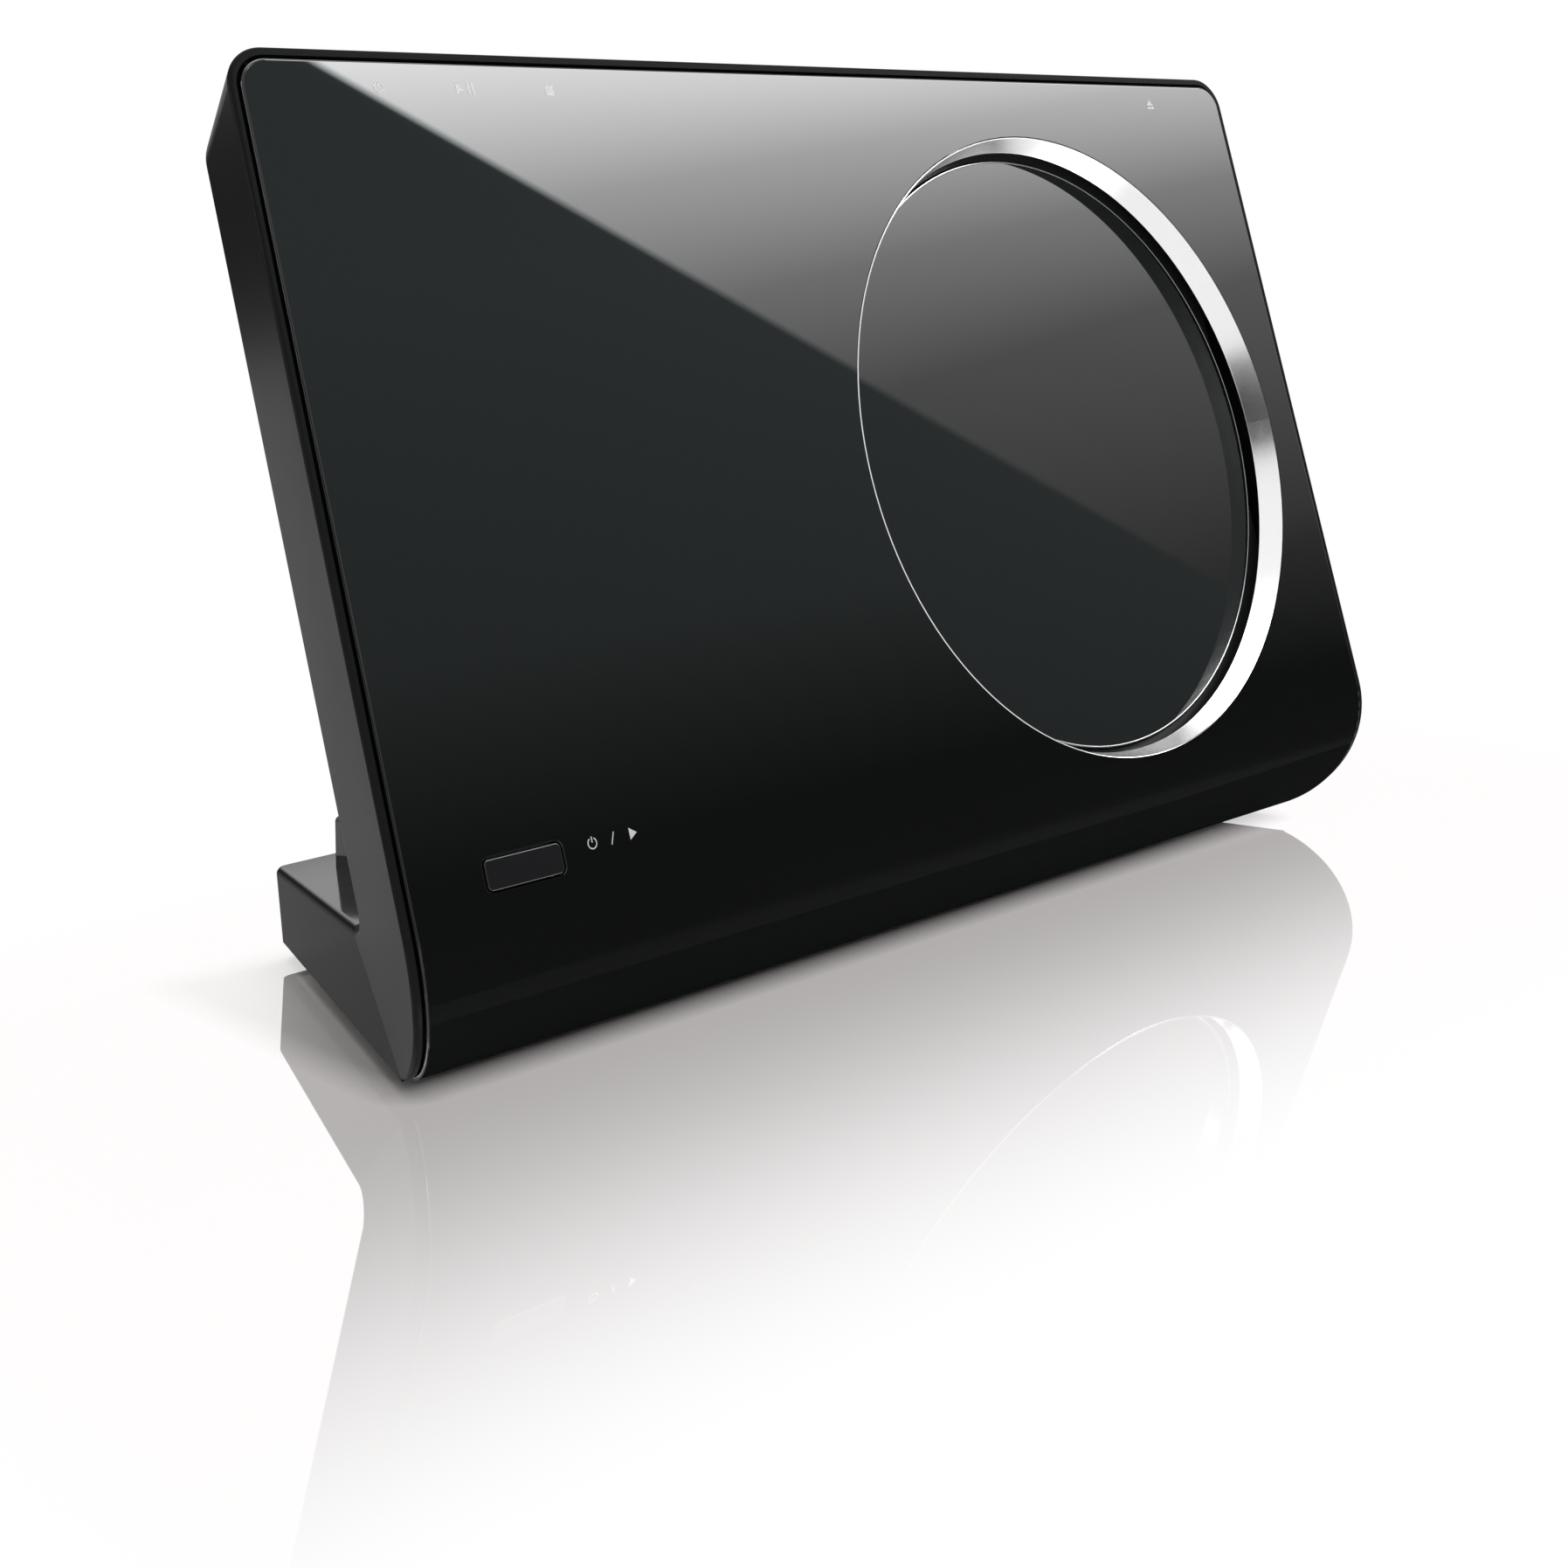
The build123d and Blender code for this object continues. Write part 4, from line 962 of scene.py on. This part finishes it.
@dataclass
class DoorEdgeHighlight:
    """The fine bright bead round the door's face, which stands in for the highlight on the door's
    rounded edge: a painted highlight.

    Attributes:
        radius: The radius of the bead's outside.
        width: The bead's width.
        proud: How far it stands off the door's face.
        sunk: How far it is let into the door.
        depth: The depth of the door's face behind the panel's.
        crown_steps: How many steps the bead's rounded top has.
        segments: How many steps go round the bead.
        smooth: Edges sharper than this many degrees stay sharp.
    """

    radius: float = 69.05 * MM
    width: float = 0.5 * MM
    proud: float = 0.1 * MM
    sunk: float = 0.3 * MM
    depth: float = 7.7 * MM
    crown_steps: int = 6
    segments: int = 192
    smooth: float = 50.0

    def build(self, metal: Material) -> None:
        """Makes the bead that stands in for the edge's highlight.

        Args:
            metal: Its finish.
        """
        half = self.width / 2
        middle = self.radius - half
        round_top = arc_points(1.0, 0.0, math.pi, self.crown_steps)
        crown = [(middle + half * x, self.proud * y) for x, y in round_top]
        profile = [*crown, (middle - half, -self.sunk), (middle + half, -self.sunk)]
        # The bead is a painted highlight: its reflection stands in for the highlight on the door's
        # rounded edge.
        mesh = Piecework.lathe(profile, PANEL.matrix(0.0, 0.0, self.depth), self.segments)
        Piecework.settle(Piecework.piece("door_bead", mesh, metal, self.smooth), "door", "silver")


@dataclass
class Underside:
    """The feet and the cover's screws.

    Attributes:
        head_radius: A screw head's radius.
        head_height: A screw head's height.
        slot_half: Half the width of the cross recess.
        slot_depth: How deep the recess is.
        shank_radius: A screw shank's radius.
        shank_end: How far the shank's end is from the head's face.
        screw_turn: How each screw is turned, in radians.
        screw_steps: How many steps go round a screw head.
        foot_radius: A foot's radius.
        foot_profile: Radius and height of each point of a foot's outline, in millimetres.
        foot_steps: How many steps go round a foot.
    """

    head_radius: float = 2.8 * MM
    head_height: float = 1.4 * MM
    slot_half: float = 0.35 * MM
    slot_depth: float = 0.55 * MM
    shank_radius: float = 1.2 * MM
    shank_end: float = 5.6 * MM
    screw_turn: float = 0.4
    screw_steps: int = 32
    foot_radius: float = 6.0 * MM
    foot_profile: tuple[Span, ...] = (
        (0.0, 0.25), (1.6, 0.25), (1.9, 0.0), (3.0, 0.0), (3.2, 0.3), (3.9, 0.3),
        (4.1, 0.0), (5.4, 0.0), (5.8, 0.18), (6.0, 0.6), (6.0, 4.0), (0.0, 4.0),
    )
    foot_steps: int = 48

    @staticmethod
    def corners(node: str, radius: float) -> list[Vector]:
        """Gives the middles of four round solids from their node's box.

        Args:
            node: The node of four solids.
            radius: Each solid's largest radius.

        Returns:
            Four points at the height of the box's lowest face.
        """
        low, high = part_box(node)
        across = (low.x + radius, high.x - radius)
        along = (low.y + radius, high.y - radius)
        return [Vector((x, y, low.z)) for x in across for y in along]

    def screw_mesh(self) -> Mesh:
        """Makes a cross-recessed screw, head down, its face at the origin.

        Returns:
            The screw's mesh.
        """

        def draw(mesh: BMesh) -> None:
            """Draws the four raised quarters, the floor of the recess and the shank."""
            gap = math.asin(self.slot_half / self.head_radius)
            rim = arc_points(self.head_radius, gap, math.pi / 2 - gap, self.screw_steps // 4)
            for quarter in range(4):
                turn = Matrix.Rotation(math.pi / 2 * quarter, 4, "Z")
                outline = [(self.slot_half, self.slot_half), *rim]
                Piecework.prism(mesh, outline, 0.0, self.slot_depth, turn)
            still = Matrix.Identity(4)
            head = circle_points(self.head_radius, self.screw_steps)
            Piecework.prism(mesh, head, self.slot_depth, self.head_height, still)
            shank = circle_points(self.shank_radius, self.screw_steps // 2)
            Piecework.prism(mesh, shank, self.head_height, self.shank_end, still)

        return Piecework.mesh_of("screw", draw)

    def foot_mesh(self) -> Mesh:
        """Makes a rubber foot with a rounded rim and two grip rings, its face at the origin."""
        profile = [(radius * MM, height * MM) for radius, height in self.foot_profile]
        return Piecework.lathe(profile, Matrix.Identity(4), self.foot_steps)

    def build(self, steel: Material, rubber: Material) -> None:
        """Makes the screws and the feet.

        Args:
            steel: The screws' finish.
            rubber: The feet's finish.
        """
        spun, still = (0.0, 0.0, self.screw_turn), (0.0, 0.0, 0.0)
        screws = Repeater("cover_screws", self.screw_mesh(), spun, steel)
        feet = Repeater("grip_feet", self.foot_mesh(), still, rubber)
        for repeater, node, radius, slot in (
            (screws, "base_screws", self.head_radius, "steel"),
            (feet, "rubber_feet", self.foot_radius, "rubber"),
        ):
            mesh = repeater.spread(self.corners(node, radius))
            piece = Piecework.piece(repeater.name, mesh, repeater.material)
            Piecework.settle(piece, "casing", slot, [node])


@dataclass
class Dresser:
    """Gives each solid of the frame its finish.

    Attributes:
        nodes: The frame's solids by name.
    """

    nodes: Mapping[str, Thing]

    def dress(self, finish: Finish, *names: str) -> None:
        """Puts a finish on solids.

        Args:
            finish: The finish.
            names: The solids' names.
        """
        material = finish.make()
        for name in names:
            mesh = self.nodes[name].data
            mesh.materials.clear()
            mesh.materials.append(material)
            log.info("%s wears %s", name, material.name)


@dataclass(frozen=True)
class Card:
    """An upright card that only reflections show.

    Attributes:
        name: Its name.
        start: Where one side stands on the floor plan.
        end: Where the other side stands.
        low: The height of its lower edge.
        high: The height of its upper edge.
        glow: How bright it looks, where 1 is white.
        edge: The share of its width and height over which its sides and top fade to white.
    """

    name: str
    start: Span
    end: Span
    low: float
    high: float
    glow: float = 1.0
    edge: float = 0.0

    @property
    def corners(self) -> list[Point]:
        """Its four corners in order."""
        low = [(*side, self.low) for side in (self.start, self.end)]
        return low + [(*side, self.high) for side in (self.end, self.start)]

    def stand(self, recipe: Recipe, light: Mapping[str, Any]) -> None:
        """Puts the card in the studio.

        Args:
            recipe: The card's material, as far as it is made.
            light: What goes into its Emission shader.
        """
        finish = recipe.end(recipe.node("ShaderNodeEmission", None, light))
        card = Studio.sheet(self.name, self.corners, finish)
        card.visible_camera = False
        card.visible_diffuse = False
        card.visible_shadow = False

    def plain(self) -> None:
        """Stands it as a plain card, dim or bright."""
        recipe = Recipe(self.name)
        level = (recipe.noise(30.0, 2.0) * 0.2 + 0.9) * self.glow
        if self.edge:
            first, second, _, last = (Vector(corner) for corner in self.corners)
            width, height = second - first, last - first
            across = recipe.along(width / width.length_squared, first)
            rise = recipe.along(height / height.length_squared, first)
            inner = 1.0 - self.edge
            cover = across.ramp(0.0, self.edge) * across.ramp(1.0, inner) * rise.ramp(1.0, inner)
            level = 1.0 - (1.0 - level) * cover
        self.stand(recipe, {"Strength": level})


@dataclass(frozen=True)
class GradedCard(Card):
    """A card that is lit above a slanting line, more and more towards its top.

    Attributes:
        slant: How much a metre across and a metre up count towards the line.
        line: Where the line is.
        blur: How soft the line is.
        tilt: How much lower each metre across counts in the steps.
        steps: The heights between which the light grows, and by how much.
    """

    slant: Span = (0.6056, 0.7958)
    line: float = 2.1713
    blur: float = 0.016
    tilt: float = 0.15
    steps: tuple[tuple[float, float, float], ...] = (
        (0.55, 1.0, 0.7),
        (1.0, 1.2, 1.6),
        (1.2, 1.4, 3.7),
        (1.4, 1.66, 9.3),
    )

    def graded(self) -> None:
        """Stands it with its light."""
        recipe = Recipe("graded_card")
        across = recipe.along(ACROSS)
        height = recipe.along(UP)
        lit = (across * self.slant[0] + height * self.slant[1] - self.line).ramp(0.0, self.blur)
        level = height - (across - 1.6) * self.tilt
        glow = sum(level.ramp(start, end) * more for start, end, more in self.steps)
        dull = 0.12 + 0.35 * height.ramp(0.1, 1.3)
        cool_to_white = recipe.mix((0.86, 0.98, 1.0), WHITE, lit)
        self.stand(recipe, {"Color": cool_to_white, "Strength": lit * glow + dull})


@dataclass
class Studio:
    """The pale floor, the soft light and the camera.

    Attributes:
        camera_place: Where the camera stands.
        camera_right: The picture's way right.
        camera_ahead: The way the camera looks.
        focal_px: The focal length in pixels of the picture.
        picture_px: The picture's side in pixels.
        rise_px: How far the optical axis is above the picture's middle.
        foot_half_width: Half the width of the floor in the object's own shade.
        foot_front: The front of that floor.
        foot_rear: The rear of that floor.
        foot_fade: How far that shade reaches past it.
        shine: How much the floor mirrors beside the object.
        shine_front: Where the mirroring starts and ends to fade in front.
        shine_side: How far past the shaded floor it does so at the sides.
        shine_rear: Where it does so behind.
        cards: The plain cards.
    """

    camera_place: Point = (-0.3835, -0.3749, 0.1698)
    camera_right: Point = (0.71033, -0.70382, 0.00832)
    camera_ahead: Point = (0.697929, 0.702754, -0.137959)
    focal_px: float = 2840.9
    picture_px: float = 1795.0
    rise_px: float = 350.0
    foot_half_width: float = 0.131
    foot_front: float = -0.026
    foot_rear: float = 0.046
    foot_fade: float = 0.01
    shine: float = 0.56
    shine_front: Span = (-0.035, -0.155)
    shine_side: Span = (0.06, 0.12)
    shine_rear: Span = (0.05, 0.1)
    cards: tuple[Card, ...] = (
        Card("left_flag", (-1.02, -0.17), (-0.69, -0.86), 0.0, 0.64, 0.0, 0.22),
        Card("rear_flag", (-0.8, 0.95), (0.9, 0.95), 0.0, 0.16, 0.02),
        Card("side_card", (-1.2, 0.55), (-1.2, 0.15), 0.1, 0.9, 14.0),
    )

    def camera(self) -> None:
        """Sets the camera up."""
        data = bpy.data.cameras.new("camera")
        data.sensor_width = 36.0
        data.lens = data.sensor_width * self.focal_px / self.picture_px
        data.shift_y = -self.rise_px / self.picture_px
        data.clip_start = 0.01
        ahead = Vector(self.camera_ahead).normalized()
        right = Vector(self.camera_right)
        right = (right - ahead * right.dot(ahead)).normalized()
        up = right.cross(ahead)
        turn = Matrix((right, up, -ahead)).transposed().to_4x4()
        camera = new_object("camera", data)
        camera.matrix_world = Matrix.Translation(self.camera_place) @ turn
        bpy.context.scene.camera = camera

    @staticmethod
    def world(fill: float = 0.62) -> None:
        """Makes the world white to the eye and to gloss, and softer as a light.

        Args:
            fill: Its strength as a light on dull surfaces.
        """
        world = bpy.data.worlds.new("studio")
        bpy.context.scene.world = world
        world.use_nodes = True
        tree = world.node_tree
        tree.nodes.clear()
        strength = seen_directly(add_node(tree, "ShaderNodeLightPath")) * (1.0 - fill) + fill
        sockets = {"Color": (*WHITE, 1.0), "Strength": strength}
        background = add_node(tree, "ShaderNodeBackground", None, sockets)
        add_node(tree, "ShaderNodeOutputWorld", None, {0: background.outputs[0]})

    @staticmethod
    def sheet(name: str, corners: Sequence[Point], material: Material) -> Thing:
        """Makes a flat sheet that belongs to the studio.

        Args:
            name: Its name.
            corners: Its four corners in order.
            material: Its finish.

        Returns:
            The sheet.
        """
        mesh = bpy.data.meshes.new(name)
        mesh.from_pydata([tuple(corner) for corner in corners], [], [(0, 1, 2, 3)])
        mesh.materials.append(material)
        made = new_object(name, mesh)
        return made

    def floor(self) -> None:
        """Lays a pale polished floor whose reflection fades away from the object, with a painted
        tint on its glow where it mirrors the object.
        """
        recipe = Recipe("pale_floor")
        along = recipe.along(ALONG)
        side = (abs(recipe.along(ACROSS)) - self.foot_half_width).held(0.0, 9.0)
        ends = (self.foot_front - along).highest(along - self.foot_rear).held(0.0, 9.0)
        away = (side * side + ends * ends) ** 0.5
        gone = along.ramp(*self.shine_front).highest(side.ramp(*self.shine_side))
        gone = gone.highest(along.ramp(*self.shine_rear))
        shine = self.shine * (1.0 - gone * gone * (3.0 - 2.0 * gone))
        speck = recipe.noise(600.0, 2.0)
        dull = recipe.mix((0.93, 0.89, 0.86), (0.96, 0.92, 0.89), speck)
        matt = recipe.node("ShaderNodeBsdfDiffuse", None, {"Color": dull})
        # Where the floor mirrors the object, its white glow is tinted: a painted tint of the
        # reflection.
        painted_reflection_tint = recipe.mix(WHITE, (1.0, 0.955, 0.95), 1.0 - gone)
        white = recipe.node("ShaderNodeEmission", None, {"Color": painted_reflection_tint, "Strength": 1.0})
        far = away.ramp(0.0, self.foot_fade) * seen_directly(recipe.node("ShaderNodeLightPath"))
        gloss = {"Color": (*WHITE, 1.0), "Roughness": 0.02}
        mirror = recipe.node("ShaderNodeBsdfGlossy", None, gloss)
        parts = {0: far, 1: matt.outputs[0], 2: white.outputs[0]}
        plain = recipe.node("ShaderNodeMixShader", None, parts)
        parts = {0: shine, 1: plain.outputs[0], 2: mirror.outputs[0]}
        finish = recipe.end(recipe.node("ShaderNodeMixShader", None, parts))
        self.sheet("floor", [(-6, -6, 0), (6, -6, 0), (6, 6, 0), (-6, 6, 0)], finish)

    @staticmethod
    def lamp(name: str, place: Point, aim: Point, size: Span, power: float) -> None:
        """Hangs a soft area lamp.

        Args:
            name: Its name.
            place: Where it hangs.
            aim: What it points at.
            size: Its width and height.
            power: Its power in watts.
        """
        data = bpy.data.lights.new(name, "AREA")
        data.shape = "RECTANGLE"
        data.size, data.size_y = size
        data.energy = power
        lamp = new_object(name, data)
        lamp.location = place
        lamp.rotation_euler = (Vector(aim) - Vector(place)).to_track_quat("-Z", "Y").to_euler()

    def build(self) -> None:
        """Sets the whole studio up."""
        bpy.context.scene.view_settings.view_transform = "Standard"
        self.camera()
        self.world()
        self.floor()
        GradedCard("front_card", (0.6, -1.8), (4.5, -1.8), 0.0, 3.0).graded()
        for card in self.cards:
            card.plain()
        self.lamp("top_lamp", (0.1, 0.2, 1.5), (0.0, 0.0, 0.1), (1.4, 1.0), 14.0)


STEEL = DrawnMetal("steel", (0.62, 0.62, 0.63), 0.3)
RUBBER = SoftRubber("rubber", (0.014, 0.014, 0.014))
PANEL_BLACK: Colour = (0.0055, 0.0064, 0.006)
LENS_CENTRE: Point = tuple(PANEL.at(-0.0255, 0.0, 0.0145))

WARDROBE: tuple[tuple[Finish, tuple[str, ...]], ...] = (
    (CoatedPanel("gloss_black", PANEL_BLACK), ("front_panel",)),
    (CoatedPanel("door_gloss", PANEL_BLACK, shaded_roll_coat=1.0), ("door_panel",)),
    (GlossLacquer("stand_gloss", (0.009, 0.0095, 0.01), 0.2, 0.006, top_sheen_coat=0.8), ("stand_base",)),
    (
        MouldedPlastic("satin_grey", (0.012, 0.0125, 0.013), 0.3, specular=0.011),
        ("rear_shell", "standby_button", "play_button", "stop_button", "open_button"),
    ),
    (MouldedPlastic("dark_grey", (0.016, 0.016, 0.017), 0.5), ("base_cover", "jack_plate")),
    (GlossLacquer("gloss_grey", (0.008, 0.008, 0.009), 0.06), ("jack_housing",)),
    # The rim's 0.2 is painted shade that dims the ring's flat rim.
    (SparkleSilver("silver", (0.94, 0.94, 0.95), 0.19, 0.4, 0.2), ("bezel_ring",)),
    (GlossLacquer("smoked", (0.005, 0.004, 0.005), 0.02, 0.45), ("ir_window",)),
    (RUBBER, ("rubber_feet", "drive_belt", "deck_dampers")),
    (
        MouldedPlastic("inner_black", (0.02, 0.02, 0.021), 0.55),
        ("door_carrier", "upper_rail", "lower_rail", "turntable", "pickup_sled"),
    ),
    (MouldedPlastic("inner_grey", (0.09, 0.09, 0.095), 0.5), ("loader_deck",)),
    (MouldedPlastic("nylon", (0.62, 0.6, 0.55), 0.45), ("drive_pinion", "motor_pulley")),
    (
        DrawnMetal("motor_steel", (0.5, 0.5, 0.5), 0.36, (1.0, 0.06, 0.06)),
        ("door_motor", "spindle_motor", "sled_motor"),
    ),
    (STEEL, ("hub_balls", "guide_rod", "lead_screw", "deck_screws", "base_screws")),
    (STEEL, ("phono_barrels", "digital_socket")),
    (CoatedLens("lens", (0.03, 0.05, 0.16), LENS_CENTRE), ("objective_lens",)),
    (
        BoardLaminate("board_green", (0.01, 0.09, 0.03), (0.03, 0.17, 0.06)),
        ("main_board", "key_board", "ir_board"),
    ),
    (BoardLaminate("board_tan", (0.3, 0.2, 0.1), (0.42, 0.3, 0.16)), ("power_board",)),
    (
        MouldedPlastic("chip_black", (0.014, 0.014, 0.015), 0.5),
        ("main_chips", "capacitors", "ir_receiver", "key_switches", "mains_inlet"),
    ),
    (MouldedPlastic("transformer_yellow", (0.55, 0.4, 0.06), 0.35), ("transformer",)),
    (GlossLacquer("lamp_red", (0.4, 0.015, 0.012), 0.08), ("status_lamp",)),
    (MouldedPlastic("socket_yellow", (0.62, 0.44, 0.02), 0.4), ("video_socket",)),
    (MouldedPlastic("socket_white", (0.72, 0.72, 0.7), 0.4), ("left_audio_socket",)),
    (MouldedPlastic("socket_red", (0.45, 0.015, 0.015), 0.4), ("right_audio_socket",)),
)


def main() -> None:
    """Builds the dressed player in its studio."""
    logging.basicConfig(level=logging.INFO, format="%(message)s")
    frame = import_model()
    dresser = Dresser(frame["nodes"])
    for finish, names in WARDROBE:
        dresser.dress(finish, *names)

    FrontFace().build(PrintedInk("print_grey", (0.6, 0.6, 0.6)).make())
    # The bead and its silver are a painted highlight for the door's rounded edge.
    DoorEdgeHighlight().build(SparkleSilver("bead_silver", (0.3, 0.305, 0.31), 0.25).make())
    Underside().build(STEEL.make(), RUBBER.make())
    Studio().build()


if __name__ == "__main__":
    main()
